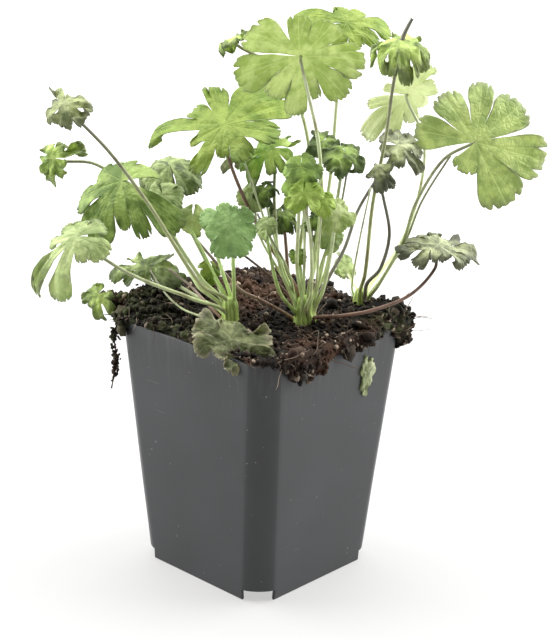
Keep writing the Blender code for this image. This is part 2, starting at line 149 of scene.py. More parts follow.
def band_faces(rows, columns, closed):
    """Quads of a grid of points, row by row, its last column joined to the first if closed."""
    row, column = np.meshgrid(np.arange(rows - 1), np.arange(columns - (not closed)), indexing="ij")
    beside = (column + 1) % columns
    quads = [row * columns + column, row * columns + beside]
    quads += [(row + 1) * columns + beside, (row + 1) * columns + column]
    return np.stack(quads, axis=-1).reshape(-1, 4).tolist()


def solid_faces(rows, columns):
    """Faces of a solid through closed rows of points, with a lid on the first and last."""
    top = (rows - 1) * columns
    lids = [list(range(columns))[::-1], [top + i for i in range(columns)]]
    return band_faces(rows, columns, True) + lids


def loft(rings):
    """Points and faces of a solid through rings of like count."""
    return np.concatenate(rings), solid_faces(len(rings), len(rings[0]))


def lumps(points, size, seed):
    """Smooth random heights from -1 to 1: one random value at each corner of a lattice of
    cells of that size, blended between the corners by the cubic 3t^2 - 2t^3."""
    table = np.random.default_rng(seed).uniform(-1, 1, (LATTICE,) * 3)
    cell = np.floor(points / size).astype(int)
    t = points / size - cell
    t = t * t * (3 - 2 * t)
    total = np.zeros(len(points))
    for corner in np.ndindex(2, 2, 2):
        step = np.array(corner)
        i, j, k = ((cell + step) % LATTICE).T
        total += table[i, j, k] * np.prod(np.where(step == 1, t, 1 - t), axis=1)
    return total


def add_mesh(name, points, faces, finish, uv=None, values=None):
    """A smooth mesh object from points in millimetres round the pot's axis, with a UV pair
    and named values for each point."""
    mesh = bpy.data.meshes.new(name)
    mesh.from_pydata(((np.asarray(points) + POT_STAND) * MM).tolist(), [], faces)
    if uv is not None:
        corner = np.empty(len(mesh.loops), dtype=np.int32)
        mesh.loops.foreach_get("vertex_index", corner)
        mesh.uv_layers.new(name="along").data.foreach_set("uv", np.asarray(uv)[corner].ravel())
    for key, value in (values or {}).items():
        mesh.attributes.new(key, "FLOAT", "POINT").data.foreach_set("value", np.asarray(value, dtype=float))
    mesh.shade_smooth()
    piece = bpy.data.objects.new(name, mesh)
    bpy.context.collection.objects.link(piece)
    mesh.materials.append(finish)
    return piece


def keep_shape(piece):
    """Replaces a piece's mesh by the one that its modifiers give."""
    shown = piece.evaluated_get(bpy.context.evaluated_depsgraph_get())
    piece.data = bpy.data.meshes.new_from_object(shown)
    piece.modifiers.clear()


def seat(piece, slot, *nodes):
    """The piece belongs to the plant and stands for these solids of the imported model."""
    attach(piece, "root")
    if nodes:
        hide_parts(*nodes)
    return piece


def cut(piece, points, faces, finish):
    """Cuts a solid out of a piece."""
    cutter = add_mesh("cutter", points, faces, finish)
    bore = piece.modifiers.new("cut", "BOOLEAN")
    bore.operation = "DIFFERENCE"
    bore.solver = "EXACT"
    bore.object = cutter
    keep_shape(piece)
    bpy.data.objects.remove(cutter)


def node(tree, kind, inputs=None, **settings):
    """A shader node, with its settings made and its inputs set or linked."""
    made = tree.nodes.new("ShaderNode" + kind)
    for key, value in settings.items():
        setattr(made, key, value)
    for key, value in (inputs or {}).items():
        if isinstance(value, bpy.types.NodeSocket):
            tree.links.new(value, made.inputs[key])
        else:
            made.inputs[key].default_value = value
    return made


def share(tree, value, low, high, bottom=0.0, top=1.0):
    """Eases a value from bottom, where it is at low, to top, where it is at high."""
    span = {"Value": value, "From Min": low, "From Max": high, "To Min": bottom, "To Max": top}
    return node(tree, "MapRange", span, interpolation_type="SMOOTHSTEP").outputs[0]


def sums(tree, operation, *values):
    """One arithmetic step on one, two or three values."""
    return node(tree, "Math", dict(enumerate(values)), operation=operation).outputs[0]


def times(tree, first, second):
    """First times second."""
    return sums(tree, "MULTIPLY", first, second)


def tint(tree, amount, under, over, mode="MIX"):
    """Lays one colour over another by an amount."""
    pair = {0: amount, 6: (*under, 1.0) if isinstance(under, tuple) else under}
    pair[7] = (*over, 1.0) if isinstance(over, tuple) else over
    return node(tree, "Mix", pair, data_type="RGBA", blend_type=mode).outputs[2]


def coats(tree, colour, *layers):
    """Lays colours over a colour in turn, each by a pattern times a strength."""
    for pattern, strength, over in layers:
        colour = tint(tree, times(tree, pattern, strength), colour, over)
    return colour


def cloud(tree, place, scale, detail=3.0, rough=0.55):
    """Soft noise round one half."""
    inputs = {"Vector": place, "Scale": scale, "Detail": detail, "Roughness": rough}
    return node(tree, "TexNoise", inputs).outputs["Fac"]


def stretched(tree, place, scale):
    """Places scaled by a factor along each axis."""
    return node(tree, "Mapping", {"Vector": place, "Scale": scale}).outputs[0]


def new_finish(name, shine=None):
    """A material with its constant shine: itself, its node tree, its main shader and its
    object places."""
    made = bpy.data.materials.new(name)
    made.use_nodes = True
    tree = made.node_tree
    main = tree.nodes["Principled BSDF"]
    for key, value in (shine or {}).items():
        main.inputs[key].default_value = value
    return made, tree, main, node(tree, "TexCoord").outputs["Object"]


def surface(tree, main, colour, height, strength, depth):
    """Puts the colour on the main shader, and relief from a height of one at depth in
    millimetres."""
    tree.links.new(colour, main.inputs["Base Color"])
    relief = node(tree, "Bump", {"Height": height, "Strength": strength, "Distance": depth * MM})
    tree.links.new(relief.outputs[0], main.inputs["Normal"])


def pot_plastic():
    """Satin dark grey, clouded by dust and darkened towards the rim by painted shade, with pale
    vertical wipes of dried soil under the rim and a few fine scratches."""
    made, tree, main, place = new_finish("pot_plastic")
    height = node(tree, "SeparateXYZ", {"Vector": place}).outputs["Z"]
    near_rim = share(tree, height, 0.080, 0.108)
    wipes = cloud(tree, stretched(tree, place, (420.0, 420.0, 26.0)), 1.0, 4.0)
    wipes = times(tree, share(tree, wipes, 0.48, 0.70), near_rim)
    haze = share(tree, cloud(tree, place, 24.0, 4.0), 0.35, 0.75)
    specks = share(tree, cloud(tree, place, 620.0, 1.0), 0.76, 0.80)
    scratch = cloud(tree, stretched(tree, place, (60.0, 60.0, 900.0)), 1.0, 2.0)
    scratch = times(tree, share(tree, scratch, 0.68, 0.74), share(tree, haze, 0.5, 0.9))
    colour = tint(tree, haze, POT_GREY, POT_HAZE)
    # Painted shade: the grey darkens towards the rim, mixed with the shaded grey.
    colour = tint(tree, share(tree, height, 0.075, 0.108, 0.0, 0.35), colour, POT_SHADED)
    marks = [(wipes, 0.08, DRIED_SOIL), (scratch, 0.35, SCRATCHED), (specks, 0.6, SPECK)]
    tree.links.new(share(tree, haze, 0.0, 1.0, 0.38, 0.50), main.inputs["Roughness"])
    surface(tree, main, coats(tree, colour, *marks), cloud(tree, place, 1500.0, 2.0), 0.15, 0.2)
    return made


def build_pot():
    """Rings of a rounded square carried along the wall's section, from the floor's underside
    round the foot, up the outside, over the rim and down to the floor."""
    finish = pot_plastic()
    edge = POT_EDGE
    outside = [(h, 0.0) for h in np.linspace(edge, POT_HEIGHT - edge, 16)]
    inside = [(h, POT_WALL) for h in np.linspace(POT_HEIGHT - edge, FLOOR_TOP, 10)]
    foot = [(FLOOR_UNDER, POT_WALL), (edge, POT_WALL), (0.0, POT_WALL - edge), (0.0, edge)]
    rim = [(POT_HEIGHT - 0.12, 0.15), (POT_HEIGHT, edge), (POT_HEIGHT, POT_WALL - edge)]
    rings = []
    for height, inset in foot + outside + rim + inside:
        ring = square_ring(pot_half(height) - inset, POT_CORNER - inset)
        rings.append(at_height(ring, height))
    pot = add_mesh("nursery_pot", *loft(rings), finish)
    for corner in np.array([(1, 1), (-1, 1), (-1, -1), (1, -1)]):
        middle = POT_BASE_HALF - POT_CORNER + NOTCH_REACH / 2
        box = square_ring(NOTCH_REACH / 2, NOTCH_EASE, 4, 1) + corner * middle
        cut(pot, *loft([at_height(box, z) for z in NOTCH_CUT]), finish)
        hole = circle(DRAIN_HOLE / 2, 32) + corner * DRAIN_PLACE
        cut(pot, *loft([at_height(hole, z) for z in DRAIN_CUT]), finish)
    points = np.empty(len(pot.data.vertices) * 3)
    pot.data.vertices.foreach_get("co", points)
    points = points.reshape(-1, 3)
    spring = lumps(points / MM, 34.0, 5) * np.clip((points[:, 2] / MM - 8) / 40, 0, 1) * SPRING * MM
    outward = points[:, :2] - POT_STAND[:2] * MM
    points[:, :2] += outward / np.abs(outward).max(axis=1)[:, None] * spring[:, None]
    pot.data.vertices.foreach_set("co", points.ravel())
    pot.data.update()
    pot.data.set_sharp_from_angle(angle=math.radians(SHARP_FROM))
    return pot


seat(build_pot(), "pot_plastic", "pot")


# The root ball is moist peat that fills the pot.  It is mounded and lumpy on top, and where
# the plant was handled it has spilled over the rim and clings to the wall outside.
# A spill has its heading and half width in degrees, and hangs and bulges in millimetres.
Bump = namedtuple("Bump", "across toward rise spread")
PHOTO_TURN = math.radians(43.0)
SOIL_LEVEL = 112.0
SOIL_BUMPS = [
    Bump(-48, -10, 9.0, 13),
    Bump(-10, -42, 3.0, 20),
    Bump(40, -16, 2.0, 16),
    Bump(53, 2, 4.5, 9),
    Bump(0, 56, -2.5, 16),
]
Spill = namedtuple("Spill", "heading width drop bulge")
SPILL_MARGIN = 10.0
SPILL_EASE = 8.0
SPILLS = [
    Spill(-22, 18, 12.5, 3.5),
    Spill(12, 20, 5.5, 2.6),
    Spill(45, 10, 11.0, 4.2),
    Spill(-135, 9, 5.0, 2.4),
    Spill(-165, 14, 2.0, 2.0),
    Spill(120, 20, 2.5, 2.2),
]
LIP_STEPS = 6
TOP_STEPS = 46
# Mossy and rusty patches: across, toward and spread.
MOSS = [(-60, -2, 13), (-34, 30, 9), (54, 10, 6)]
RUST = [(-10, -24, 11), (6, -20, 12), (28, 44, 12), (44, 8, 6)]
PEAT_DARK = (0.002, 0.0015, 0.0012)
PEAT_BROWN = (0.015, 0.0105, 0.007)
PEAT_RED = (0.075, 0.033, 0.015)
PEAT_MOSSY = (0.060, 0.072, 0.028)
PEAT_PALE = (0.34, 0.27, 0.20)


def turned(across, toward, height):
    """A point or direction in the pot's own frame, whose walls run along X and Y, or back."""
    c, s = math.cos(PHOTO_TURN), math.sin(PHOTO_TURN)
    return np.array([across * c + toward * s, across * s - toward * c, height])


def soil_height(points):
    """Top of the soil: a level, bumps as bell curves, and small waves as lumps."""
    x, y = points[:, 0], points[:, 1]
    across, toward, _ = turned(x, y, x)
    height = np.full(len(points), SOIL_LEVEL)
    for b in SOIL_BUMPS:
        away = (across - b.across) ** 2 + (toward - b.toward) ** 2
        height += b.rise * np.exp(-away / (2 * b.spread**2))
    return height + 0.5 * np.sin(x / 3.1) * np.cos(y / 3.7) + 0.3 * np.sin(x / 1.9 + y / 2.3)


def spill_at(ring):
    """How far the soil is pushed over the rim, hangs down outside and bulges, round a ring."""
    heading = np.degrees(np.arctan2(ring[:, 1], ring[:, 0]))
    ragged = lumps(at_height(ring, 0.0), 3.4, 11) + 0.6 * lumps(at_height(ring, 0.0), 1.6, 12)
    push, drop, bulge = (np.zeros(len(ring)) for _ in range(3))
    for s in SPILLS:
        away = np.abs((heading - s.heading + 180) % 360 - 180)
        over = np.clip(1.0 - (away / s.width) ** 2, 0.0, 1.0)
        reach = s.width + SPILL_MARGIN + SPILL_EASE
        push = np.maximum(push, np.clip((reach - away) / SPILL_EASE, 0.0, 1.0))
        drop = np.maximum(drop, over * s.drop)
        bulge = np.maximum(bulge, (0.3 + 0.7 * over) * s.bulge * (away < s.width + SPILL_MARGIN))
    return push, np.maximum(drop * (1 + 0.28 * ragged) + 0.6 * ragged * push, -0.3), bulge


def soil_rings():
    """Rings from the pot's floor up inside the wall, over the rim, down the outside of the
    wall where soil hangs, back up round the bulge, and inwards over the top."""
    inset = POT_WALL + GAP
    rim = POT_HEIGHT + GAP
    inner = square_ring(pot_half(rim) - inset, POT_CORNER - inset)
    push, drop, bulge = spill_at(inner)
    rings = []
    for height in np.linspace(FLOOR_TOP + GAP, rim, 8):
        ring = square_ring(pot_half(height) - inset, POT_CORNER - inset)
        rings.append(at_height(ring, height))
    outer = square_ring(1.0, POT_CORNER / POT_TOP_HALF)
    top_half = np.full(len(inner), POT_TOP_HALF + GAP)
    foot = rim + 0.8 * (1 - push) - drop

    def level(half_at, height):
        place = inner + (outer * half_at[:, None] - inner) * push[:, None]
        return at_height(place, height)

    lip = [
        level(top_half, rim + 0.05 + 0.4 * (1 - push)),
        level(pot_half(foot) + GAP, foot),
        level(pot_half(foot) + GAP + bulge, foot + 0.5 + 0.35 * drop),
        level(top_half + bulge * 0.8, rim + 1.9 + 0.2 * bulge),
    ]
    for start, end in zip(lip[:-1], lip[1:]):
        for step in range(LIP_STEPS):
            rings.append(start + (end - start) * step / LIP_STEPS)
    crest = lip[-1][:, :2]
    for part in np.linspace(1.0, 0.012, TOP_STEPS):
        place = crest * part
        over_rim = np.abs(place).max(axis=1) > POT_TOP_HALF - 3 * POT_WALL
        height = np.maximum(soil_height(place), np.where(over_rim, rim + 0.9, 0.0))
        height = height + (lip[-1][:, 2] - height) * np.clip((part - 0.93) / 0.07, 0, 1)
        rings.append(at_height(place, height))
    return rings


def mesh_value(tree, name):
    """A value that the mesh carries at its points."""
    return node(tree, "Attribute", attribute_name=name).outputs["Fac"]


def peat():
    """Near-black brown crumbs with reddish, mossy and pale ones among them: how pale, red or
    mossy each point is comes from the mesh's own values."""
    made, tree, main, place = new_finish("peat", {"Roughness": 0.85, "Specular IOR Level": 0.2})
    grain = cloud(tree, place, 900.0, 3.0)
    growth = share(tree, cloud(tree, place, 260.0), 0.42, 0.6)
    colour = tint(tree, share(tree, grain, 0.35, 0.7), PEAT_DARK, PEAT_BROWN)
    red, moss, shade = (mesh_value(tree, key) for key in ("red", "moss", "shade"))
    colour = coats(tree, colour, (red, 0.6, PEAT_RED), (moss, growth, PEAT_MOSSY))
    surface(tree, main, tint(tree, shade, colour, PEAT_PALE), grain, 0.6, 0.5)
    return made


def grid_normals(grid):
    """Outward normals of a closed-round grid, from the differences along and across it."""
    around = np.roll(grid, -1, axis=1) - np.roll(grid, 1, axis=1)
    up = np.gradient(grid, axis=0)
    n = np.cross(around, up)
    return n / np.maximum(np.linalg.norm(n, axis=2, keepdims=True), 1e-9)


def peat_tints(points):
    """How red the peat is, in soft patches, and how mossy: sums of bell curves round places."""

    def near(places):
        total = np.zeros(len(points))
        for across, toward, spread in places:
            away = np.sum((points - turned(across, toward, 113)) ** 2, axis=1)
            total += np.exp(-away / (2 * spread**2))
        return total

    red = 0.02 + 0.8 * near(RUST) + 0.8 * lumps(points, 9.0, 24) + 0.4 * lumps(points, 2.5, 25)
    return {"red": np.clip(red, 0, 1), "moss": np.clip(near(MOSS), 0, 1)}


def build_root_ball(finish):
    """The rings, with every point above the rim moved along the surface's normal by lumps
    of three sizes."""
    grid = np.stack(soil_rings())
    normals = grid_normals(grid)
    flat = grid.reshape(-1, 3)
    rough = 1.2 * lumps(flat, 6.5, 21) + 0.9 * lumps(flat, 2.6, 22) + 0.5 * lumps(flat, 1.2, 23)
    loose = np.clip((np.arange(len(grid)) - 10) / 6, 0, 1)[:, None]
    grid = grid + normals * (rough.reshape(grid.shape[:2]) * loose)[..., None]
    points, faces = loft(list(grid))
    values = {"shade": np.clip(lumps(points, 1.5, 26) * 0.6 - 0.42, 0, 1), **peat_tints(points)}
    ball = add_mesh("root_ball_peat", points, faces, finish, values=values)
    return ball, grid, grid_normals(grid)


peat_finish = peat()
root_ball, soil_grid, soil_normals = build_root_ball(peat_finish)
seat(root_ball, "peat", "root_ball")


# Loose crumbs of peat lie all over the top and cling to the lip: most are dark, some are
# reddish bark, and a few are pale flecks.  A mossy tuft of them leans out at the left corner.
CRUMBS = 5200
CRUMB_SIZES = (0.35, 1.5)
CLODS = 500
PALE_SHARE = 0.07
LOOSE_FROM_ROW = 14
TUFT = [(-52, -3, 115), (-69, -4, 115.5)]
TUFT_CRUMBS = 420


def ball_of_faces():
    """A rough ball of twenty faces: the corners of three golden rectangles across each other."""
    g = (1 + 5**0.5) / 2
    base = [(-1, g, 0), (1, g, 0), (-1, -g, 0), (1, -g, 0)]
    points = base + [(z, x, y) for x, y, z in base] + [(y, z, x) for x, y, z in base]
    points = np.array(points) / math.hypot(1, g)
    faces = []
    near = np.linalg.norm(points[:, None] - points[None], axis=2) < 1.1
    for i, j, k in combinations(range(12), 3):
        if near[i, j] and near[j, k] and near[i, k]:
            out = np.cross(points[j] - points[i], points[k] - points[i]) @ points[i]
            faces.append([i, j, k] if out > 0 else [i, k, j])
    return points, np.array(faces)


def random_turns(rng, count):
    """One random turn matrix for each of a count, from three random axes made square."""
    return np.linalg.qr(rng.normal(size=(count, 3, 3)))[0]


def scatter(rng, count, lift):
    """Random places on the loose part of the soil, spread evenly by area, with normals."""
    loose, normals = soil_grid[LOOSE_FROM_ROW:-2], soil_normals[LOOSE_FROM_ROW:-2]
    around = np.linalg.norm(np.roll(loose, -1, axis=1) - loose, axis=2)
    along = np.linalg.norm(np.gradient(loose, axis=0), axis=2)
    area = (around * along).ravel()
    chosen = rng.choice(area.size, count, p=area / area.sum())
    jitter = rng.uniform(-0.5, 0.5, (count, 3))
    n = normals.reshape(-1, 3)[chosen]
    return loose.reshape(-1, 3)[chosen] + jitter + n * lift[:, None], n


def crumbs(name, rng, place, size):
    """A rough ball at each place, stretched, dented and turned at random."""
    ball, faces = ball_of_faces()
    count = len(place)
    corners = len(ball)
    stretch = rng.uniform(0.55, 1.3, (count, 1, 3))
    shape = ball[None] * (1 + rng.uniform(-0.28, 0.28, (count, corners, 1))) * stretch
    points = np.einsum("nij,nkj->nki", random_turns(rng, count), shape) * size[:, None, None]
    points = (points + place[:, None]).reshape(-1, 3)
    faces = (faces + np.arange(count)[:, None, None] * corners).reshape(-1, 3).tolist()
    pale = (rng.random(count) < PALE_SHARE) * rng.uniform(0.2, 1.0, count)
    shade = np.maximum(pale, rng.uniform(-0.25, 0.13, count)).clip(0, 1)
    values = {**peat_tints(points), "shade": np.repeat(shade, corners)}
    return add_mesh(name, points, faces, peat_finish, values=values)


def build_crumbs():
    """Most crumbs are near the small size, by a power of an even draw, and the first are clods."""
    rng = np.random.default_rng(7)
    low, high = CRUMB_SIZES
    size = low + (high - low) * rng.power(0.55, CRUMBS) ** 2
    size[:CLODS] *= rng.uniform(1.4, 2.6, CLODS)
    return crumbs("peat_crumbs", rng, scatter(rng, CRUMBS, size * 0.4)[0], size)


def build_tuft():
    """Mossy crumbs heaped along a short line out from the left corner, thinner at its end."""
    rng = np.random.default_rng(8)
    run = rng.uniform(0, 1, TUFT_CRUMBS)[:, None]
    start, end = (turned(*place) for place in TUFT)
    spread = rng.normal(0, 1, (TUFT_CRUMBS, 3)) * [1.7, 1.7, 1.2] * (1.3 - 0.8 * run)
    size = rng.uniform(0.5, 1.9, TUFT_CRUMBS)
    return crumbs("left_corner_tuft", rng, start + (end - start) * run + spread, size)


seat(build_crumbs(), "peat")
seat(build_tuft(), "peat")


# Fine rootlets and peat fibres run through the top layer and stick out of the lip: thin,
# bent, tan to reddish brown.
FIBRES = 620
LONG_FIBRES = 90
FIBRE_POINTS = 6
FIBRE_SIDES = 4


def tubes(paths, radii, sides):
    """Grid tubes along many paths of like count: at each point a ring across the path, in
    two directions square to it, the first of them square to the direction in which the
    path's own directions spread least.  Returns points, faces and the share along a tube."""
    paths = np.asarray(paths, dtype=float)
    ahead = np.gradient(paths, axis=1)
    ahead /= np.maximum(np.linalg.norm(ahead, axis=2, keepdims=True), 1e-9)
    helper = np.linalg.svd(ahead)[2][:, 2:3]
    first = np.cross(helper, ahead)
    first /= np.maximum(np.linalg.norm(first, axis=2, keepdims=True), 1e-9)
    second = np.cross(ahead, first)
    turn = turns(sides)
    ring = first[:, :, None] * np.cos(turn)[:, None] + second[:, :, None] * np.sin(turn)[:, None]
    grid = paths[:, :, None] + ring * np.asarray(radii)[..., None, None]
    count, rows = paths.shape[:2]
    faces = []
    for base in range(0, count * rows * sides, rows * sides):
        faces += [[base + k for k in face] for face in solid_faces(rows, sides)]
    along = np.broadcast_to(np.linspace(0, 1, rows)[None, :, None], grid.shape[:3])
    return grid.reshape(-1, 3), faces, along.ravel()


def build_fibres():
    """Each fibre starts on the soil and walks by steps whose heading drifts at random."""
    rng = np.random.default_rng(17)
    place, n = scatter(rng, FIBRES, rng.uniform(0.0, 0.5, FIBRES))
    heading = rng.normal(size=(FIBRES, 3))
    heading -= n * np.sum(heading * n, axis=1, keepdims=True) * 0.97
    heading /= np.linalg.norm(heading, axis=1, keepdims=True)
    drift = rng.normal(size=(FIBRES, FIBRE_POINTS, 3)) * 0.42
    strong = np.arange(FIBRES) < LONG_FIBRES
    more = np.where(strong, 1.3, 1.0)
    length = rng.uniform(2.0, 8.5, FIBRES) * more
    steps = (heading[:, None] + np.cumsum(drift, axis=1) * 0.7) * (length / FIBRE_POINTS)[:, None, None]
    paths = place[:, None] + np.cumsum(steps, axis=1) - n[:, None] * 0.3
    radii = (rng.uniform(0.09, 0.24, FIBRES) * more)[:, None] * np.linspace(1.0, 0.45, FIBRE_POINTS)
    points, faces, _ = tubes(paths, radii, FIBRE_SIDES)
    shade = rng.uniform(0.05, 0.75, FIBRES) ** np.where(strong, 0.6, 1.6)
    looks = {"shade": shade, "red": rng.uniform(0.2, 1.0, FIBRES), "moss": np.zeros(FIBRES)}
    values = {key: np.repeat(value, FIBRE_POINTS * FIBRE_SIDES) for key, value in looks.items()}
    return add_mesh("peat_fibres", points, faces, peat_finish, values=values)


seat(build_fibres(), "peat")


# The crowns are short fleshy rootstocks, sheathed in the flared feet of old and new leaf
# stalks: bright green above, papery and brown where they stand in the peat.
Crown = namedtuple("Crown", "name across toward seat radius neck height")
CROWNS = [
    Crown("crown_left", -13, 15, 110.0, 3.9, 3.1, 14.0),
    Crown("crown_main", 18, 11, 109.5, 5.2, 4.1, 14.5),
    Crown("crown_right", 42, -8, 110.5, 3.9, 3.0, 11.5),
]
CROWN_SCALES = 9
CROWN_ROWS = 26
CROWN_COLUMNS = 72
CROWN_SUNK = 2.0
CROWN_GREEN = (0.26, 0.40, 0.06)
CROWN_LIME = (0.54, 0.66, 0.20)
CROWN_PAPERY = (0.16, 0.12, 0.06)


def uv_parts(tree):
    """A piece's own UV map, and its two parts."""
    uv = node(tree, "UVMap", uv_map="along").outputs["UV"]
    parts = node(tree, "SeparateXYZ", {"Vector": uv}).outputs
    return uv, parts["X"], parts["Y"]


def crown_flesh():
    """Lengthwise streaks from green to lime, papery brown towards the foot."""
    made, tree, main, place = new_finish("crown_flesh", {"Roughness": 0.45})
    up = uv_parts(tree)[2]
    streaks = cloud(tree, stretched(tree, place, (900.0, 900.0, 90.0)), 1.0, 3.0)
    colour = tint(tree, streaks, CROWN_GREEN, CROWN_LIME)
    foot = (share(tree, up, 0.42, 0.08), share(tree, streaks, 0.3, 0.6), CROWN_PAPERY)
    surface(tree, main, coats(tree, colour, foot), streaks, 0.5, 0.6)
    return made


def build_crown(crown, finish, seed):
    """A dome on a narrowing stub, its round section pinched into overlapping scales:
    radius = stub or dome times 0.92 + 0.12 |cos| of the turn, twisting a little with height."""
    t = np.linspace(0, 1, CROWN_ROWS)[:, None]
    turn = turns(CROWN_COLUMNS)[None, :]
    stub = crown.radius * 1.06 + (crown.neck - crown.radius * 1.06) * np.minimum(t / 0.8, 1)
    dome = np.sqrt(np.clip(1 - np.clip((t - 0.78) / 0.22, 0, 1) ** 2.4, 0, 1))
    scales = 0.92 + 0.12 * np.abs(np.cos(turn * CROWN_SCALES / 2 + 1.6 * t + seed))
    radius = stub * np.maximum(dome, 0.02) * scales
    height = crown.seat - CROWN_SUNK + (crown.height + CROWN_SUNK + 0.2) * t
    parts = np.broadcast_arrays(radius * np.cos(turn), radius * np.sin(turn), height)
    flat = (np.stack(parts, axis=-1) + turned(crown.across, crown.toward, 0.0)).reshape(-1, 3)
    flat = flat + 0.25 * lumps(flat, 2.4, seed)[:, None]
    uv = np.stack(np.broadcast_arrays(turn / 6.3, t), axis=-1).reshape(-1, 2)
    return add_mesh(crown.name + "_sheath", flat, solid_faces(CROWN_ROWS, CROWN_COLUMNS), finish, uv=uv)


crown_finish = crown_flesh()
for number, crown in enumerate(CROWNS):
    seat(build_crown(crown, crown_finish, 31 + number), "crown_flesh", crown.name)


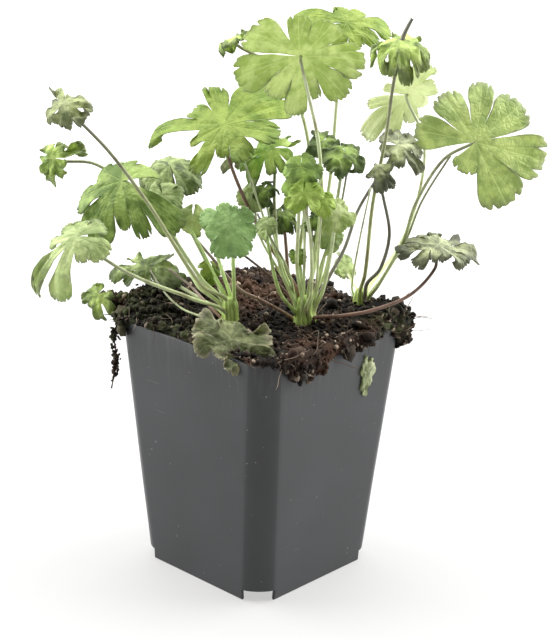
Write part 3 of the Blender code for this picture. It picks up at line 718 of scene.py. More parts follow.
# The leaves: each is a thin blade, round in outline and cut into lobes that are cut again
# and toothed, on its own long stalk from one of the crowns.  Young ones are open and bright;
# thirsty ones hang like folded umbrellas or have crumpled, with dull grey edges.
#
# at: where the stalk meets the blade; face: which way its upper side looks; mid: which way
# angle 0 points; lobes: how many, or each one's angle and half width in degrees and its
# length; cut: how deep the cuts go, as a share; droop: how far the edge bends away from
# face, in degrees; crown, heading, level: where the stalk leaves its crown, in degrees
# round it and millimetres above its seat; via: points that the stalk passes; tone, stem and
# state: the blade's finish, the stalk's finish and how the blade holds itself, named below.
Leaf = namedtuple("Leaf", "name at face mid radius lobes cut droop crown heading level via tone stem state")
LEFT = (-1, 0, 0)
RIGHT = (1, 0, 0)
LEAVES = [
    Leaf("far_left", (-79, 24, 205), (-0.2, 0.6, 0.75), LEFT, 15,
         [(-152, 24, 11), (-108, 20, 9), (-60, 9, 14), (-20, 22, 10), (18, 18, 13), (54, 18, 12),
          (92, 20, 12), (134, 20, 12), (172, 16, 11)], 0.7, 60,
         0, 150, 15, [(-25, 22, 131), (-46, 20, 163), (-62, 21, 185)], "dull", "dark", "crisp"),
    Leaf("left_cup", (-90, -20, 172), (-0.3, 0.8, 0.5), LEFT, 13,
         [(-163, 14, 15), (-120, 22, 8), (-60, 26, 9), (-2, 9, 17), (38, 18, 11), (76, 18, 11.5),
          (112, 20, 11), (152, 20, 8)], 0.6, 55,
         0, 195, 10, [(-27, 10, 127), (-46, -24, 150), (-72, -23, 169)], "drab", "olive", "crisp"),
    Leaf("left_big", (-59, 4, 169), (-0.15, 0.6, 0.78), LEFT, 27,
         [(-142, 24, 18), (-90, 24, 15), (-38, 24, 16), (10, 21, 24), (58, 22, 29), (92, 10, 23),
          (114, 10, 27), (143, 16, 33)], 0.42, 52,
         0, 185, 13, [(-25, 12, 130), (-42, 5, 152)], "green", "olive", "nodding"),
    Leaf("left_back", (-41, -24, 169.5), (-0.05, 0.4, 0.9), (-0.3, -0.9, 0.1), 23, 9, 0.45, 88,
         0, 230, 10, [(-19, 4, 126), (-33, -12, 148)], "mossy", "olive", "limp"),
    Leaf("left_inner", (-30, -4, 153), (0.1, 0.75, 0.6), (-0.1, 0.7, -0.7), 10, 5, 0.5, 60,
         0, 270, 15, [(-16, 8, 130), (-24, -8, 145)], "fresh", "green", "limp"),
    Leaf("blue_green", (-14, 24, 158), (0.05, 0.85, 0.5), (0.1, 0.5, -0.85), 15,
         [(-165, 22, 9.5), (-114, 24, 13.5), (-66, 22, 10.5), (-20, 24, 15), (22, 24, 15), (66, 22, 12.5),
          (112, 24, 11), (155, 20, 8.5)], 0.3, 30,
         0, 40, 15, [(-12, 17, 135), (-13, 16, 150)], "blue", "green", "open"),
    Leaf("left_low", (-74, 33, 153.5), (-0.2, 0.6, 0.75), LEFT, 22,
         [(-145, 24, 13), (-95, 24, 10), (-45, 22, 10), (-4, 13, 15), (30, 3.5, 36), (60, 12, 32),
          (104, 18, 12), (148, 28, 16)], 0.55, 62,
         0, 130, 9, [(-28, 28, 127), (-53, 32, 138)], "pale", "olive", "nodding"),
    Leaf("soil_low", (-50, -12, 128), (0.0, 0.5, 0.85), LEFT, 17,
         [(-150, 22, 12), (-100, 22, 9), (-40, 20, 9), (5, 11, 20), (40, 14, 13), (85, 22, 12),
          (140, 18, 17), (178, 12, 15)], 0.6, 25,
         0, 215, 6, [(-26, 4, 119), (-38, -7, 122)], "mossy", "olive", "crisp"),
    Leaf("mid_left_top", (-17.5, -6, 191.5), (-0.15, 0.6, 0.75), LEFT, 28,
         [(-152, 17, 31), (-118, 17, 34), (-76, 15, 23), (-38, 15, 20), (-13, 5, 45), (26, 6, 17),
          (59, 11, 25), (86, 12, 16), (120, 18, 20), (168, 21, 24)], 0.5, 22,
         1, 200, 15, [(10, 5, 132), (-2, 3, 150), (-12, 0, 170), (-17, -4, 184)],
         "vivid", "brown", "nodding"),
    Leaf("top_big", (13, 8, 223.2), (0.0, -0.9, 0.4), RIGHT, 26,
         [(-147, 23, 26), (-94, 16, 20), (-55, 20, 21.5), (-4, 25, 26.5), (42, 16, 25.5),
          (70, 11, 20), (94, 12, 27), (122, 16, 22), (162, 22, 28)], 0.55, 12,
         1, 60, 15, [(21, 14, 140), (23, 14, 166), (21, 16, 190), (16, 17, 211)], "lime", "pale", "open"),
    Leaf("top_second", (32, -34, 230.5), (0.1, 0.62, 0.78), RIGHT, 20,
         [(-150, 18, 22), (-105, 18, 13), (-62, 18, 13), (-22, 16, 17), (12, 15, 24), (54, 20, 12),
          (104, 24, 10), (167, 17, 26)], 0.45, 34,
         1, 290, 15, [(22, 4, 138), (27, -10, 169), (29, -24, 200)], "vivid", "olive", "open"),
    Leaf("top_small", (-15, -28, 224), (-0.4, -0.3, 0.8), (-0.8, 0.3, -0.2), 10, 7, 0.6, 60,
         1, 245, 10, [(15, -2, 136), (18, -16, 179), (6, -26, 210)], "drab", "olive", "crisp"),
    Leaf("right_fold", (53, 2, 230), (-0.1, 0.3, 0.93), LEFT, 18,
         [(-165, 16, 16), (-125, 16, 13), (-85, 14, 12), (-48, 16, 17), (-8, 17, 20), (28, 15, 21),
          (62, 14, 17), (95, 14, 20), (128, 15, 18), (160, 15, 20)], 0.6, 84,
         2, 110, 12.5, [(43, -3, 130), (45, -5, 160), (49, -3, 189), (51, 0, 213)], "drab", "dark", "wilted"),
    Leaf("back_pale", (60, -46, 198), (0.1, -0.95, 0.3), RIGHT, 23,
         [(-160, 12, 11), (-110, 18, 20), (-68, 19, 21), (-28, 17, 15), (22, 22, 10), (76, 18, 13),
          (112, 15, 20), (137, 13, 28), (165, 11, 18)], 0.5, 25,
         2, 300, 7, [(48, -18, 123), (59, -32, 134), (67, -40, 156), (68, -42, 179)],
         "back", "pale", "nodding"),
    Leaf("right_big", (83.6, 17, 192.4), (0.1, 0.9, 0.3), RIGHT, 28,
         [(-112, 28, 13.5), (-59, 23, 29), (-12, 20, 31), (41, 22, 26), (83, 14, 25.5),
          (124, 19.5, 24), (170, 19, 25)], 0.66, 18,
         2, 20, 7, [(49, -4, 125), (58, 2, 146), (62, 7, 164), (72, 9, 183)], "fresh", "olive", "open"),
    Leaf("right_dry", (72, 8, 146.5), (0.1, 0.45, 0.88), RIGHT, 20,
         [(-168, 14, 19), (-138, 18, 15), (-100, 21, 9), (-62, 20, 10), (-28, 18, 16), (4, 14, 21),
          (34, 15, 15), (66, 19, 11), (98, 21, 10), (132, 18, 13), (160, 13, 17)], 0.5, 36,
         1, 45, 6, [(33, 18, 118), (46, 18, 121), (61, 15, 127), (71, 10, 137)], "grey", "brown", "wilted"),
    Leaf("right_grey", (55.5, -20, 182), (0.1, 0.7, 0.7), RIGHT, 14,
         [(-150, 26, 9), (-92, 26, 10), (-36, 8, 19), (-8, 20, 12), (36, 24, 10), (86, 26, 11),
          (140, 26, 10)], 0.35, 50,
         1, 320, 9, [(28, 1, 130), (34, -6, 140), (40, -14, 156)], "grey", "dusk", "wilted"),
    Leaf("right_curl", (45, 2, 178.5), (-0.1, 0.7, 0.6), (0.45, 0.3, -0.8), 13,
         [(-50, 18, 7), (-16, 15, 13), (14, 15, 13), (48, 18, 8)], 0.3, 15,
         2, 60, 9, [(44, -2, 126), (49, 2, 134), (52, 3, 149), (49, 1.5, 164)], "grey", "dusk", "wilted"),
    Leaf("centre_dark", (32.5, 4, 183.5), (0.15, 0.6, 0.75), (0.2, 0.8, -0.5), 12.5, 7, 0.4, 70,
         1, 350, 15, [(26, 9, 134), (29, 6, 158)], "dark", "pale", "wilted"),
    Leaf("centre_green", (14, 24, 182), (-0.1, 0.75, 0.6), (-0.1, 0.6, -0.75), 13,
         [(-140, 40, 8), (-75, 28, 9), (-20, 24, 13.5), (28, 22, 14), (76, 28, 9.5), (138, 40, 8)],
         0.45, 55, 1, 130, 15, [(14, 16, 138), (14, 19, 160)], "leafy", "pale", "nodding"),
    Leaf("centre_bright", (15.5, 30, 173), (0.0, 0.8, 0.5), (0.0, 0.3, -0.9), 10, 7, 0.4, 45,
         1, 90, 11, [(20, 20, 128), (19, 25, 152)], "bright", "pale", "limp"),
    Leaf("centre_pale", (29, 22, 163.5), (0.1, 0.8, 0.6), (0.3, 0.6, -0.7), 10, 7, 0.45, 50,
         1, 20, 10, [(25, 15, 128), (28, 17, 148)], "lime", "pale", "limp"),
    Leaf("centre_fold", (2.5, -8, 182), (-0.3, 0.6, 0.75), LEFT, 17,
         [(-160, 17, 12), (-118, 19, 11), (-70, 20, 10), (-25, 17, 13), (14, 14, 18), (44, 10, 19),
          (78, 13, 13), (112, 12, 14), (152, 15, 13)], 0.6, 60,
         1, 165, 11, [(7, 9, 136), (4, 0, 160)], "curl", "olive", "crisp"),
    Leaf("low_pale", (0.5, 12, 154.5), (-0.2, 0.75, 0.6), (-0.4, 0.6, -0.6), 6.5, 5, 0.5, 45,
         1, 150, 7, [(7, 15, 127), (2, 10, 145)], "pale", "green", "limp"),
    Leaf("low_dark", (8, -4, 155), (0.0, 0.5, 0.85), (0.2, 0.8, -0.2), 10, 9, 0.6, 60,
         1, 225, 6, [(11, 2, 128), (9, -3, 144)], "dark", "brown", "crisp"),
]
# Small leaves that stand between them.
YOUNG = [
    Leaf("low_yellow", (-21.4, 3, 131.5), (0.3, 0.8, 0.5), (0.1, 0.3, -0.9), 7, 5, 0.4, 50,
         0, 260, 12, [(-17, 10, 125)], "vivid", "green", "limp"),
    Leaf("young_middle", (14, 4, 139), (-0.4, 0.8, 0.4), (0.1, 0.1, 0.9), 5, 3, 0.4, 50,
         1, 200, 14.5, [(16, 6, 130)], "green", "green", "limp"),
    Leaf("young_back", (36, -34, 123), (0.1, 0.7, 0.7), (0.1, 0.3, 0.9), 7, 5, 0.5, 50,
         2, 250, 9, [(39, -24, 119)], "pale", "pale", "limp"),
    Leaf("left_grey", (-43, -8, 160.5), (-0.1, 0.75, 0.65), (0.3, 0.4, -0.85), 12, 5, 0.5, 40,
         0, 240, 13, [(-20, 8, 131), (-31, -2, 148)], "pale", "green", "limp"),
    Leaf("bright_right", (23.5, 27, 169.5), (0.1, 0.8, 0.5), (0.1, 0.3, -0.9), 7, 5, 0.4, 50,
         1, 60, 13, [(22, 20, 132), (22.5, 24, 152)], "bright", "pale", "limp"),
    Leaf("young_pale", (-5.6, 0, 163), (-0.3, 0.8, 0.5), (-0.2, 0.3, -0.9), 8, 5, 0.5, 40,
         1, 190, 13, [(6, 6, 134), (-2, 4, 148)], "pale", "pale", "limp"),
    Leaf("dark_curl", (-1, 1, 166.5), (-0.2, 0.6, 0.8), (-0.7, 0.5, -0.4), 8, 7, 0.7, 60,
         1, 170, 13, [(8, 8, 136), (3, 5, 152)], "dark", "pale", "crisp"),
    Leaf("grey_tip", (-10, -2, 180), (-0.2, 0.7, 0.7), (-0.9, 0.2, -0.35), 13,
         [(-40, 12, 6), (0, 9, 14), (40, 12, 6)], 0.5, 20,
         1, 190, 14, [(7, 8, 136), (-2, 4, 160)], "dull", "pale", "limp"),
    Leaf("dark_bit", (20, 13, 157), (0.2, 0.7, 0.6), (0.1, 0.4, -0.8), 5, 3, 0.6, 60,
         1, 80, 14, [(20, 14, 138)], "dark", "dark", "crisp"),
    Leaf("pale_middle", (27, 12, 150), (0.1, 0.8, 0.5), (0.2, 0.4, -0.8), 8, 5, 0.5, 50,
         1, 30, 13, [(24, 13, 134)], "pale", "pale", "limp"),
    Leaf("dark_upper", (23, -4, 186), (-0.1, 0.5, 0.8), (-0.4, 0.5, -0.4), 9, 5, 0.6, 60,
         1, 300, 14, [(21, 4, 140), (22, -2, 162)], "dark", "olive", "limp"),
]
# Stalks that stand bare, with their radius.
Stem = namedtuple("Stem", "name stem thick crown heading level via")
STEMS_ALONE = [
    Stem("under_left_big", "pink", 0.75, 1, 205, 3,
         [(0, 10, 121), (-9.4, 8, 125), (-22.4, 0, 137), (-38, -10, 152)]),
    Stem("under_blue_green", "brown", 0.6, 1, 195, 9, [(9, 7, 125), (-0.4, 8, 134), (-11.3, 10, 143)]),
    Stem("left_trailing", "pink", 0.6, 0, 200, 3, [(-22, 10, 118), (-30.2, 0, 123), (-40, -8, 128)]),
    Stem("left_lying", "olive", 0.5, 0, 150, 2,
         [(-24, 19, 116), (-34, 10, 117), (-42, 0, 121), (-48, -9, 127)]),
    Stem("fan_left", "olive", 0.55, 1, 185, 13, [(10, 12, 136), (3.4, 12, 148), (-3, 8, 158)]),
    Stem("fan_upright", "pale", 0.6, 1, 110, 14, [(17, 14, 140), (16, 14, 160), (15, 16, 176)]),
    Stem("fan_back", "olive", 0.55, 1, 260, 14, [(17, 2, 142), (18, -4, 162), (20, -6, 182)]),
    Stem("right_pair", "olive", 0.6, 2, 350, 8,
         [(50, -10, 125), (59, -3, 144), (65, 0, 163), (75, 6, 184)]),
    Stem("right_pale", "pale", 0.5, 2, 210, 6, [(38, -10, 122), (40, -10, 140), (44, -8, 166)]),
    Stem("fan_right", "olive", 0.55, 1, 330, 13,
         [(24, 11, 138), (30, 8, 156), (33, 3, 172), (33.5, 2, 181)]),
]


# The stalks are thin tubes that leave a crown in a flared sheath, run through their own
# points and meet their blades from below.  With them comes a lobe of the folded leaf at the
# right, which has rolled up and dried to a little stick.
ROLLED_LOBE = [(53, 2, 228.5), (54, 2, 232), (55.5, 2, 235.5), (57, 2, 238.5)]
STALK_RADIUS = 0.8
YOUNG_STALK_RADIUS = 0.55
ROLL_RADIUS = 0.9
STALK_FLARE = 1.15
STALK_TAPER = 0.75
TOP_PLACE = 0.6
STALK_STEPS = 9
STALK_SIDES = 8
SHEATH_FLARE = 2.1


def unit(v):
    """The direction of v, with a length of one."""
    return v / np.linalg.norm(v)


def leaf_axes(leaf):
    """The blade's angle 0, side and upper directions in the pot's frame."""
    up = unit(turned(*leaf.face))
    mid = turned(*leaf.mid)
    mid = unit(mid - up * (mid @ up))
    return mid, np.cross(up, mid), up


def smooth_path(knots, steps):
    """A curve through the knots: its direction at each is the chord past it, and each
    stretch is a cubic as long as the gap it fills."""
    knots = np.array([2 * knots[0] - knots[1], *knots, 2 * knots[-1] - knots[-2]])
    gaps = np.linalg.norm(np.diff(knots, axis=0), axis=1)
    slopes = (knots[2:] - knots[:-2]) / (gaps[1:] + gaps[:-1])[:, None]
    u = (np.arange(steps) / steps)[:, None]
    path = []
    for i, gap in enumerate(gaps[1:-1]):
        start, end = knots[i + 1], knots[i + 2]
        leave, arrive = slopes[i] * gap, slopes[i + 1] * gap
        rise = start + (end - start) * (3 * u**2 - 2 * u**3)
        path.append(rise + leave * (u - 2 * u**2 + u**3) + arrive * (u**3 - u**2))
    return np.concatenate([*path, knots[-2:-1]])


def crown_knots(stalk):
    """From inside the crown's foot up along its side, by the points that the stalk passes."""
    crown = CROWNS[stalk.crown]
    turn = math.radians(stalk.heading)
    way = turned(math.cos(turn), math.sin(turn), 0.0)
    axis = turned(crown.across, crown.toward, crown.seat)
    level = min(stalk.level, crown.height)
    side = axis + way * (crown.neck if stalk.level <= crown.height else crown.neck * TOP_PLACE)
    foot = axis + way * crown.radius * 0.62 + [0, 0, -1.0]
    return [foot, side + [0, 0, level * 0.9], *(turned(*v) for v in stalk.via)]


def stalk_path(leaf):
    """Up from the crown, then square into the blade from below."""
    blade_up = leaf_axes(leaf)[2]
    under = turned(*leaf.at) - blade_up * 0.15
    near = under - blade_up * min(3.5, leaf.radius * 0.35)
    return smooth_path([*crown_knots(leaf), near, under], STALK_STEPS)


# Each stalk finish: its colour at the foot and at the tip.
STEMS = {
    "green": ((0.45, 0.61, 0.18), (0.34, 0.47, 0.17)),
    "pale": ((0.58, 0.70, 0.30), (0.44, 0.48, 0.32)),
    "olive": ((0.50, 0.60, 0.26), (0.20, 0.21, 0.13)),
    "dark": ((0.38, 0.42, 0.17), (0.10, 0.095, 0.075)),
    "brown": ((0.24, 0.13, 0.085), (0.13, 0.085, 0.065)),
    "pink": ((0.42, 0.25, 0.19), (0.20, 0.16, 0.11)),
    "dusk": ((0.17, 0.16, 0.11), (0.11, 0.11, 0.085)),
}


def stem_finish(name, foot, tip):
    """A smooth stalk, its colour going from foot to tip, mottled, with fine lengthwise lines."""
    made, tree, main, place = new_finish("stalk_" + name, {"Roughness": 0.48, "Sheen Weight": 0.12})
    along, _, up = uv_parts(tree)
    colour = tint(tree, share(tree, up, 0.2, 0.95), foot, tip)
    darker = tint(tree, 1.0, colour, (0.55, 0.46, 0.42), "MULTIPLY")
    colour = tint(tree, share(tree, cloud(tree, place, 130.0), 0.45, 0.75), colour, darker)
    lines = cloud(tree, stretched(tree, along, (26.0, 3.0, 1.0)), 1.0, 1.0)
    surface(tree, main, colour, lines, 0.35, 0.3)
    return made


stem_finishes = {name: stem_finish(name, *pair) for name, pair in STEMS.items()}


def build_stalk(name, path, stem, thick):
    """A tube, flared where it sheathes the crown, then tapering evenly up to the blade,
    where it swells a little."""
    run = np.linspace(0, 1, len(path))
    radii = thick * (STALK_FLARE + (STALK_TAPER - STALK_FLARE) * run)
    radii *= (1 + (SHEATH_FLARE - 1) * np.exp(-run / 0.035)) * (1 + 0.25 * np.exp((run - 1) / 0.012))
    points, faces, along = tubes(path[None], radii[None], STALK_SIDES)
    around = np.tile(np.arange(STALK_SIDES) / STALK_SIDES, len(path))
    return add_mesh(name, points, faces, stem_finishes[stem], uv=np.stack([around, along], axis=1))


for leaf in LEAVES:
    stalk = build_stalk("leaf_stalk_" + leaf.name, stalk_path(leaf), leaf.stem, STALK_RADIUS)
    seat(stalk, "stalk_green", "stalk_" + leaf.name)
for leaf in YOUNG:
    stalk = build_stalk("young_stalk_" + leaf.name, stalk_path(leaf), leaf.stem, YOUNG_STALK_RADIUS)
    seat(stalk, "stalk_green")
for stem in STEMS_ALONE:
    path = smooth_path(crown_knots(stem), STALK_STEPS)
    seat(build_stalk("bare_stalk_" + stem.name, path, stem.stem, stem.thick), "stalk_green")
rolled_lobe = smooth_path([turned(*v) for v in ROLLED_LOBE], STALK_STEPS)
seat(build_stalk("rolled_dry_lobe", rolled_lobe, "dusk", ROLL_RADIUS), "leaf_green")


# The blades are soft and thin, veined and toothed.  Each is built lobe by lobe, bent and
# crumpled as the leaf holds itself, welded into one sheet and given a thin wall.
LOBE_COLUMNS = 37
LOBE_ROWS = 16
TEETH = 7
STALK_OPENING = 0.12
LOBE_SHORTENING = 0.28
BLADE_THICKNESS = 0.30
WELD_REACH = 0.02
LEAF_SEEDS, YOUNG_SEEDS, FALLEN_SEEDS = 100, 200, 300
# How a blade holds itself: curl bends and twists whole lobes and roll bends their ends, in
# degrees; fold lifts their sides, as a slope; crumple is in millimetres; wave is a share of
# a lobe's length.
State = namedtuple("State", "curl roll fold crumple wave")
STATES = {
    "open": State(7, 6, 0.05, 0.6, 0.04),
    "nodding": State(16, 22, 0.16, 0.8, 0.06),
    "limp": State(24, 45, 0.30, 1.2, 0.10),
    "crisp": State(32, 60, 0.45, 2.4, 0.16),
    "wilted": State(14, 35, 0.22, 2.4, 0.14),
    "rumpled": State(14, 30, 0.25, 3.6, 0.18),
}


def ease(x):
    """From 0 to 1 by 3x^2 - 2x^3."""
    x = np.clip(x, 0, 1)
    return x * x * (3 - 2 * x)


def lobe_outline(u, notch):
    """How far a lobe reaches across its width, from 0 to 1: a rounded end with two narrow
    notches that make three smaller lobes, and seven half-round teeth, two to each outer
    one and three to the middle one."""
    x = np.abs(u)
    end = 1 - 0.06 * x**2 - 0.17 * x**7
    saw = (u * TEETH + 1) % 2 - 1
    fringe = 0.045 * (1 - np.sqrt(1 - 0.97 * saw**2))
    return end - fringe - notch * np.exp(-(((x - 3 / TEETH) / 0.05) ** 2))


def lobe_list(leaf, rng):
    """Each lobe's angle, half width and length: as given, or spread evenly round the leaf
    with the ones beside the stalk shorter."""
    if isinstance(leaf.lobes, list):
        return np.array(leaf.lobes, dtype=float)
    half = leaf.lobes // 2
    span = 360.0 / (leaf.lobes + STALK_OPENING)
    angle = np.arange(-half, half + 1) * span
    length = leaf.radius * (1 - LOBE_SHORTENING * (np.abs(angle) / 180) ** 1.5)
    length = length * rng.uniform(0.86, 1.1, len(angle))
    angle = angle + rng.uniform(-0.08, 0.08, len(angle)) * span
    return np.column_stack([angle, span * rng.uniform(0.42, 0.54, len(angle)), length])


def blade_grid(leaf, rng):
    """One grid for each lobe, u across it and v out from the stalk.  Inside the cuts the
    lobes share their edges; beyond, each has its own angle and width, and bends and twists
    on its own.  A column runs out on an arc whose slope is the sum of the blade's droop, its
    lobe's own curl and the roll of the edge; lifts across it are along its normal."""
    mid, side, up = leaf_axes(leaf)
    at = turned(*leaf.at)
    state = STATES[leaf.state]
    lobes = lobe_list(leaf, rng)
    middles = (lobes[1:, 0] + lobes[:-1, 0]) / 2
    edges = [lobes[0, 0] - lobes[0, 1], *middles, lobes[-1, 0] + lobes[-1, 1]]
    inner = 0.8 * lobes[:, 2].mean()
    u = np.linspace(-1, 1, LOBE_COLUMNS)[None, :]
    v = (np.arange(LOBE_ROWS + 1) / LOBE_ROWS)[:, None]
    base = 1 - leaf.cut
    out = np.clip((v - base) / (1 - base), 0, 1)
    free = out**0.8
    points, uvs, shades = [], [], []
    for i, (middle, spread, length) in enumerate(lobes):
        start, end = edges[i], edges[i + 1]
        whole = (start + end) / 2 + (end - start) / 2 * u
        own = middle + spread * 1.1 * u
        angle = np.radians(whole + (own - whole) * free)
        reach = length * lobe_outline(u, rng.uniform(0.05, 0.13))
        radius = v * (inner + (reach - inner) * ease(out) ** 0.8)
        slope = math.radians(leaf.droop) * radius / leaf.radius
        slope = slope + math.radians(state.curl) * rng.normal() * out
        slope = slope + math.radians(state.roll) * out**3 * rng.uniform(0.3, 1.5)
        step = np.diff(radius, axis=0, prepend=0)
        middle_slope = (slope + np.vstack([slope[:1], slope[:-1]])) / 2
        run = np.cumsum(np.cos(middle_slope) * step, axis=0)
        down = np.cumsum(np.sin(middle_slope) * step, axis=0)
        aside = radius * np.sin(angle - math.radians(middle))
        twig = np.abs(aside) - 0.5 * np.clip(radius - 0.4 * length, 0, None)
        valley = np.exp(-((aside / 1.1) ** 2)) + 0.5 * np.exp(-((twig / 0.9) ** 2)) * ease(v * 3 - 1)
        lift = -0.22 * valley * min(1.0, leaf.radius / 22) * np.minimum(v * 3, 1)
        lift = lift + state.fold * rng.uniform(-0.6, 1.2) * np.abs(aside) * free
        lift = lift + aside * math.radians(state.curl) * rng.normal() * 0.6 * free
        wave = np.sin(v * rng.uniform(6, 11) + rng.uniform(0, 6) + u * rng.uniform(-2, 2))
        lift = lift + wave * free * np.abs(u) * length * state.wave
        lift = lift + 0.35 * (-1) ** i * free
        heading = np.cos(angle)[..., None] * mid + np.sin(angle)[..., None] * side
        flat = run + lift * np.sin(slope)
        tall = -down + lift * np.cos(slope)
        grid = at + heading * flat[..., None] + up * tall[..., None]
        points.append(grid.reshape(-1, 3))
        uvs.append(np.stack(np.broadcast_arrays((u + 1) / 2, v), axis=-1).reshape(-1, 2))
        shades.append(np.full(u.size * v.size, rng.uniform(-1, 1)))
    points = np.concatenate(points)
    uvs = np.concatenate(uvs)
    shake = lumps(points, leaf.radius * 0.3, 41) + 0.6 * lumps(points, leaf.radius * 0.14, 42)
    shake = shake + 0.3 * lumps(points, 1.8, 44)
    sway = lumps(points + 50.0, leaf.radius * 0.25, 43)
    far = (uvs[:, 1] * state.crumple)[:, None]
    points = points + far * (0.8 * shake[:, None] * up + 0.4 * sway[:, None] * side)
    return points, uvs, np.concatenate(shades)


def blade_faces(lobes):
    """The quads of one lobe's grid, shifted by its count of points for each next lobe."""
    one = np.array(band_faces(LOBE_ROWS + 1, LOBE_COLUMNS, False))
    shift = np.arange(lobes)[:, None, None] * (LOBE_ROWS + 1) * LOBE_COLUMNS
    return (one[None] + shift).reshape(-1, 4).tolist()


def blade_finish(name, deep, light, edge, glow, blotch, sound):
    """A soft leaf: green clouded from deep to light, puckered between a net of veins with painted
    shade in the creases along it, paler along the main ones, dull beyond the share of its length
    that is sound, and thin enough for light to come through in the glow colour."""
    made, tree, main, place = new_finish("blade_" + name, {"Roughness": 0.55, "Specular IOR Level": 0.35})
    _, u, out = uv_parts(tree)
    across = times(tree, sums(tree, "ABSOLUTE", sums(tree, "SUBTRACT", u, 0.5)), 2.0)
    aside = times(tree, across, out)
    twig = sums(tree, "SUBTRACT", aside, times(tree, sums(tree, "SUBTRACT", out, 0.40), 0.72))
    twig = share(tree, sums(tree, "ABSOLUTE", twig), 0.034, 0.008)
    twig = times(tree, twig, share(tree, out, 0.40, 0.44))
    veins = sums(tree, "MAXIMUM", share(tree, aside, 0.045, 0.012), times(tree, twig, 0.7))
    mottle = times(tree, cloud(tree, place, 240.0), 0.45)
    mottle = sums(tree, "MULTIPLY_ADD", cloud(tree, place, 95.0, 4.0, 0.6), 0.65, mottle)
    patches = share(tree, mottle, 0.40, 0.68, 0.0, 1.2)
    patches = sums(tree, "ADD", patches, times(tree, mesh_value(tree, "lobe_shade"), 0.30))
    patches = sums(tree, "SUBTRACT", patches, times(tree, out, 0.25))
    colour = tint(tree, node(tree, "Clamp", {"Value": patches}).outputs[0], deep, light)
    net = node(tree, "TexVoronoi", {"Vector": place, "Scale": 430.0}, feature="DISTANCE_TO_EDGE")
    pucker_and_crease_shade = share(tree, net.outputs["Distance"], 0.01, 0.22)
    # Painted shade: the colour goes towards the deep green in the creases along the net of veins.
    colour = tint(tree, share(tree, pucker_and_crease_shade, 0.0, 1.0, 0.14, 0.0), colour, deep)
    ragged = times(tree, cloud(tree, place, 220.0), 0.16 + 0.9 * (1 - sound))
    rim = share(tree, sums(tree, "ADD", out, ragged), sound * 1.5 - 0.48, 1.12)
    sides = share(tree, sums(tree, "ADD", across, ragged), 0.98, 1.10)
    border = sums(tree, "MAXIMUM", rim, times(tree, sides, share(tree, out, 0.55, 0.70)))
    spots = share(tree, cloud(tree, place, 140.0, 5.0, 0.65), 0.62 - 0.2 * blotch, 0.72 - 0.2 * blotch)
    marks = [(veins, 0.55, light), (border, 0.75, edge), (spots, min(1.0, blotch * 2), edge)]
    colour = coats(tree, colour, *marks)
    relief = sums(tree, "ADD", times(tree, cloud(tree, place, 800.0), 0.5), pucker_and_crease_shade)
    surface(tree, main, colour, sums(tree, "SUBTRACT", relief, veins), 0.4, 0.4)
    through = node(tree, "BsdfTranslucent", {"Color": tint(tree, 0.5, colour, glow)})
    both = node(tree, "MixShader", {0: 0.45, 1: main.outputs[0], 2: through.outputs[0]})
    tree.links.new(both.outputs[0], tree.nodes["Material Output"].inputs["Surface"])
    return made


# Each blade finish: its deep and light green, the colour of its edge, the colour that it
# glows in, how blotched it is and what share of its length is sound.
BLADES = {
    "lime": ((0.33, 0.43, 0.13), (0.63, 0.70, 0.37), (0.32, 0.36, 0.23), (0.70, 0.79, 0.39), 0.1, 1.0),
    "fresh": ((0.31, 0.41, 0.15), (0.63, 0.72, 0.32), (0.20, 0.22, 0.15), (0.67, 0.76, 0.30), 0.15, 0.96),
    "green": ((0.14, 0.22, 0.05), (0.43, 0.55, 0.17), (0.14, 0.17, 0.09), (0.44, 0.58, 0.12), 0.15, 0.98),
    "leafy": ((0.16, 0.24, 0.06), (0.46, 0.63, 0.16), (0.09, 0.12, 0.06), (0.46, 0.68, 0.12), 0.2, 0.95),
    "vivid": ((0.20, 0.30, 0.05), (0.41, 0.51, 0.12), (0.20, 0.25, 0.12), (0.45, 0.56, 0.10), 0.1, 0.98),
    "blue": ((0.22, 0.35, 0.12), (0.41, 0.59, 0.24), (0.20, 0.26, 0.15), (0.39, 0.60, 0.20), 0.05, 1.0),
    "pale": ((0.28, 0.37, 0.14), (0.60, 0.69, 0.34), (0.27, 0.30, 0.21), (0.62, 0.72, 0.34), 0.25, 0.96),
    "bright": ((0.25, 0.38, 0.05), (0.52, 0.65, 0.17), (0.28, 0.34, 0.12), (0.50, 0.66, 0.13), 0.1, 1.0),
    "back": ((0.62, 0.68, 0.42), (0.78, 0.82, 0.60), (0.60, 0.62, 0.48), (0.80, 0.86, 0.55), 0.0, 1.0),
    "mossy": ((0.13, 0.18, 0.06), (0.53, 0.62, 0.28), (0.12, 0.15, 0.09), (0.49, 0.60, 0.23), 0.45, 0.88),
    "drab": ((0.20, 0.28, 0.08), (0.63, 0.76, 0.25), (0.12, 0.14, 0.08), (0.60, 0.74, 0.21), 0.3, 0.85),
    "dull": ((0.15, 0.19, 0.09), (0.55, 0.61, 0.31), (0.12, 0.125, 0.09), (0.50, 0.56, 0.26), 0.3, 0.84),
    "dark": ((0.09, 0.14, 0.04), (0.40, 0.54, 0.14), (0.065, 0.08, 0.045), (0.36, 0.52, 0.11), 0.3, 0.80),
    "grey": ((0.24, 0.26, 0.17), (0.80, 0.84, 0.54), (0.07, 0.075, 0.06), (0.56, 0.62, 0.32), 0.35, 0.82),
    "curl": ((0.29, 0.52, 0.12), (0.74, 0.86, 0.35), (0.08, 0.11, 0.05), (0.74, 0.86, 0.23), 0.10, 0.84),
}
blade_finishes = {name: blade_finish(name, *looks) for name, looks in BLADES.items()}


def weld(piece, distance):
    """Joins the points that lie within a distance in millimetres and turns the faces outwards."""
    work = bmesh.new()
    work.from_mesh(piece.data)
    bmesh.ops.remove_doubles(work, verts=work.verts, dist=distance * MM)
    bmesh.ops.recalc_face_normals(work, faces=work.faces)
    work.to_mesh(piece.data)
    work.free()


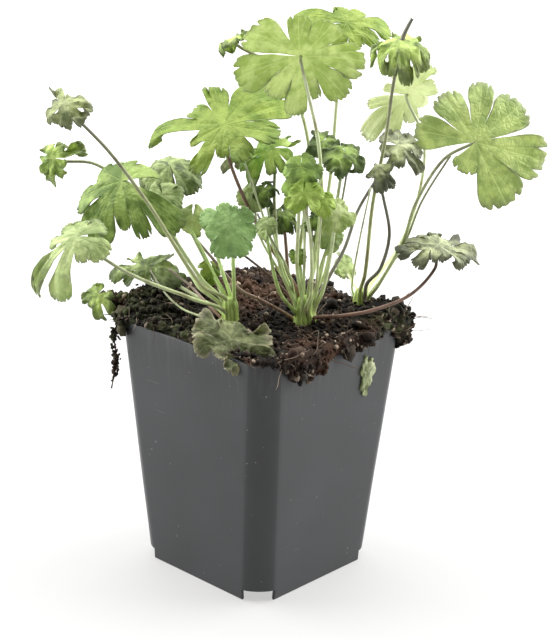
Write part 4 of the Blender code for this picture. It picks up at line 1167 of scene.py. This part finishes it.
def build_blade(kind, leaf, seed):
    """The lobes' grids, welded where they share their edges, with a thin wall's thickness."""
    points, uv, shades = blade_grid(leaf, np.random.default_rng(seed))
    faces = blade_faces(len(points) // ((LOBE_ROWS + 1) * LOBE_COLUMNS))
    looks = {"uv": uv, "values": {"lobe_shade": shades}}
    blade = add_mesh(kind + leaf.name, points, faces, blade_finishes[leaf.tone], **looks)
    weld(blade, WELD_REACH)
    wall = blade.modifiers.new("thickness", "SOLIDIFY")
    wall.thickness = BLADE_THICKNESS * MM
    wall.offset = 0.0
    return blade


for number, leaf in enumerate(LEAVES):
    seat(build_blade("leaf_blade_", leaf, LEAF_SEEDS + number), "leaf_green", "blade_" + leaf.name)
for number, leaf in enumerate(YOUNG):
    seat(build_blade("young_blade_", leaf, YOUNG_SEEDS + number), "leaf_green")


# Two limp leaves have come off and lie where they fell: one over the front rim, grey-green
# and blotched with pale edges, and a smaller, greener one against the left corner.
FALLEN = [
    Leaf("on_front_rim", (-12, 45, 116), (0.1, 0.72, 0.7), LEFT, 17,
         [(-176, 22, 17), (-128, 26, 9), (-76, 24, 9), (-28, 24, 18), (14, 22, 15), (58, 22, 10),
          (104, 24, 14), (146, 22, 22)], 0.2, 12,
         None, 0, 0, [], "wilted", None, "rumpled"),
    Leaf("on_left_rim", (-69.5, -1, 118.5), (-0.3, 0.75, 0.6), LEFT, 12,
         [(-100, 26, 5), (-40, 26, 6.5), (10, 20, 9), (48, 15, 9.5), (84, 14, 13.5), (132, 14, 11),
          (170, 20, 7)], 0.5, 45, None, 0, 0, [], "drab", None, "limp"),
]
WILTED = ((0.10, 0.12, 0.045), (0.37, 0.41, 0.19), (0.50, 0.45, 0.31), (0.28, 0.32, 0.12), 0.2, 0.97)
blade_finishes["wilted"] = blade_finish("wilted", *WILTED)
for number, leaf in enumerate(FALLEN):
    seat(build_blade("fallen_leaf_", leaf, FALLEN_SEEDS + number), "fallen_leaf", "blade_" + leaf.name)


# A dry rootlet hangs outside the left corner, with crumbs of peat clinging to it in two
# clusters.
STRAND = [(-61.6, 2, 105.9), (-62.4, 2.4, 99), (-61.6, 2, 91), (-62.6, 1.6, 84), (-63.8, 2, 77)]
STRAND_RADIUS = 0.4
STRAND_STEPS = 14
STRAND_SIDES = 8
strand_path = smooth_path([turned(*place) for place in STRAND], STRAND_STEPS)


def build_strand():
    """A thin tube, thickened and thinned by small lumps."""
    radii = np.full((1, len(strand_path)), STRAND_RADIUS)
    points, faces, _ = tubes(strand_path[None], radii, STRAND_SIDES)
    centre = np.repeat(strand_path, STRAND_SIDES, axis=0)
    points = centre + (points - centre) * (1 + 0.6 * lumps(points, 1.5, 51))[:, None]
    looks = {"shade": 0.15, "red": 0.2, "moss": 0.0}
    values = {key: np.full(len(points), value) for key, value in looks.items()}
    return add_mesh("hanging_rootlet", points, faces, peat_finish, values=values)


def build_clots():
    """Crumbs round the rootlet, in two bell curves along it."""
    rng = np.random.default_rng(71)
    run = np.clip(np.concatenate([rng.normal(0.18, 0.08, 25), rng.normal(0.62, 0.15, 95)]), 0, 1)
    place = strand_path[(run * (len(strand_path) - 1)).astype(int)]
    place = place + rng.normal(0, 0.75, (len(run), 3))
    return crumbs("rootlet_peat", rng, place, rng.uniform(0.4, 1.1, len(run)))


seat(build_strand(), "dry_root", "root_strand")
seat(build_clots(), "dry_root")


# A dried scrap of leaf, pale and crinkled, is stuck flat to the right wall under the rim,
# where it landed wet.
SCRAP_AT = (18.0, 92.0)
SCRAP_SIZE = (3.9, 7.8)
SCRAP_ROWS = 10
SCRAP_COLUMNS = 64
DRIED = ((0.27, 0.32, 0.15), (0.66, 0.70, 0.44), (0.5, 0.53, 0.32), (0.5, 0.55, 0.3), 0.2, 1.0)


def build_scrap():
    """An oval with three waves round its edge, laid on the slanting wall and crinkled, with
    a back that lies against the wall."""
    turn = turns(SCRAP_COLUMNS)
    wave = 1 + 0.2 * np.sin(3 * turn + 0.6) + 0.14 * np.sin(7 * turn) + 0.1 * np.sin(13 * turn + 1)
    fronts, backs = [], []
    for part in np.linspace(1.0, 0.03, SCRAP_ROWS):
        y = SCRAP_AT[0] + SCRAP_SIZE[0] * wave * np.cos(turn) * part
        z = SCRAP_AT[1] + SCRAP_SIZE[1] * wave * np.sin(turn) * part
        front = np.stack([pot_half(z) + 0.45, y, z], axis=1)
        front[:, 0] += 0.6 + 0.7 * lumps(front, 1.6, 61)
        fronts.append(front)
        backs.insert(0, np.stack([pot_half(z) + 0.1, y, z], axis=1))
    points, faces = loft(backs + fronts)
    count = len(points)
    looks = {"uv": np.full((count, 2), 0.7), "values": {"lobe_shade": np.zeros(count)}}
    return add_mesh("leaf_scrap_on_wall", points, faces, blade_finish("dried", *DRIED), **looks)


seat(build_scrap(), "dry_scrap", "wall_scrap")


# The setting: a white table that glows as painted light, less near the pot as painted shade,
# and soft studio light from both sides, from above and from the bright surroundings behind the
# plant.  Lamps are placed in metres.
TABLE_REACH = 3000.0
LAMPS_LOOK_AT = [0, 0, 0.12]
LAMPS_SIDE = 105.0
FRONT_HEADING = -47.0


def build_floor():
    """A white table that glows as painted light, and glows less near the pot as painted shade round it."""
    shine = {"Base Color": (0.15, 0.15, 0.15, 1.0), "Roughness": 0.8}
    shine["Emission Color"] = (1.0, 0.995, 0.98, 1.0)
    glowing_floor_finish, tree, main, place = new_finish("glowing_white_table", shine)
    away = node(tree, "VectorMath", {0: place}, operation="LENGTH").outputs["Value"]
    # Painted light: the table's own glow, weaker near the pot as painted shade.
    tree.links.new(share(tree, away, 0.15, 0.7, 0.55, 1.0), main.inputs["Emission Strength"])
    corners = np.array([(-1, -1, 0), (1, -1, 0), (1, 1, 0), (-1, 1, 0)]) * TABLE_REACH
    floor = add_mesh("table", corners, [[0, 1, 2, 3]], glowing_floor_finish)


def soft_light(name, heading, height, away, size, power):
    """A square lamp that stands at a heading round the pot and looks at its middle."""
    lamp = bpy.data.lights.new(name, "AREA")
    lamp.energy = power
    lamp.size = size
    turn = math.radians(heading)
    place = np.array([math.cos(turn) * away, math.sin(turn) * away, height])
    back = unit(place - LAMPS_LOOK_AT)
    right = unit(np.cross([0, 0, 1.0], back))
    rows = np.stack([right, np.cross(back, right), back, place], axis=1).tolist()
    shown = bpy.data.objects.new(name, lamp)
    shown.matrix_world = Matrix([*rows, [0, 0, 0, 1]])
    bpy.context.collection.objects.link(shown)


build_floor()
soft_light("left_box", FRONT_HEADING - LAMPS_SIDE, 0.7, 1.2, 1.1, 29.0)
soft_light("right_box", FRONT_HEADING + LAMPS_SIDE, 0.7, 1.2, 1.1, 32.0)
soft_light("top_box", FRONT_HEADING + 180.0, 1.8, 0.4, 1.4, 38.0)
world = bpy.data.worlds.new("studio")
world.use_nodes = True
sky = world.node_tree
way = node(sky, "TexCoord").outputs["Generated"]
to_camera = (math.sin(VIEW_HEADING), -math.cos(VIEW_HEADING), 0.1)
facing = node(sky, "VectorMath", {0: way, 1: to_camera}, operation="DOT_PRODUCT").outputs["Value"]
seen = node(sky, "LightPath").outputs["Is Camera Ray"]
strength = sums(sky, "MAXIMUM", share(sky, facing, -0.1, 0.75, 1.75, 0.02), seen)
sky.links.new(strength, sky.nodes["Background"].inputs["Strength"])
sky.nodes["Background"].inputs["Color"].default_value = (1.0, 1.0, 1.0, 1.0)
bpy.context.scene.world = world
bpy.context.scene.view_settings.view_transform = "Standard"
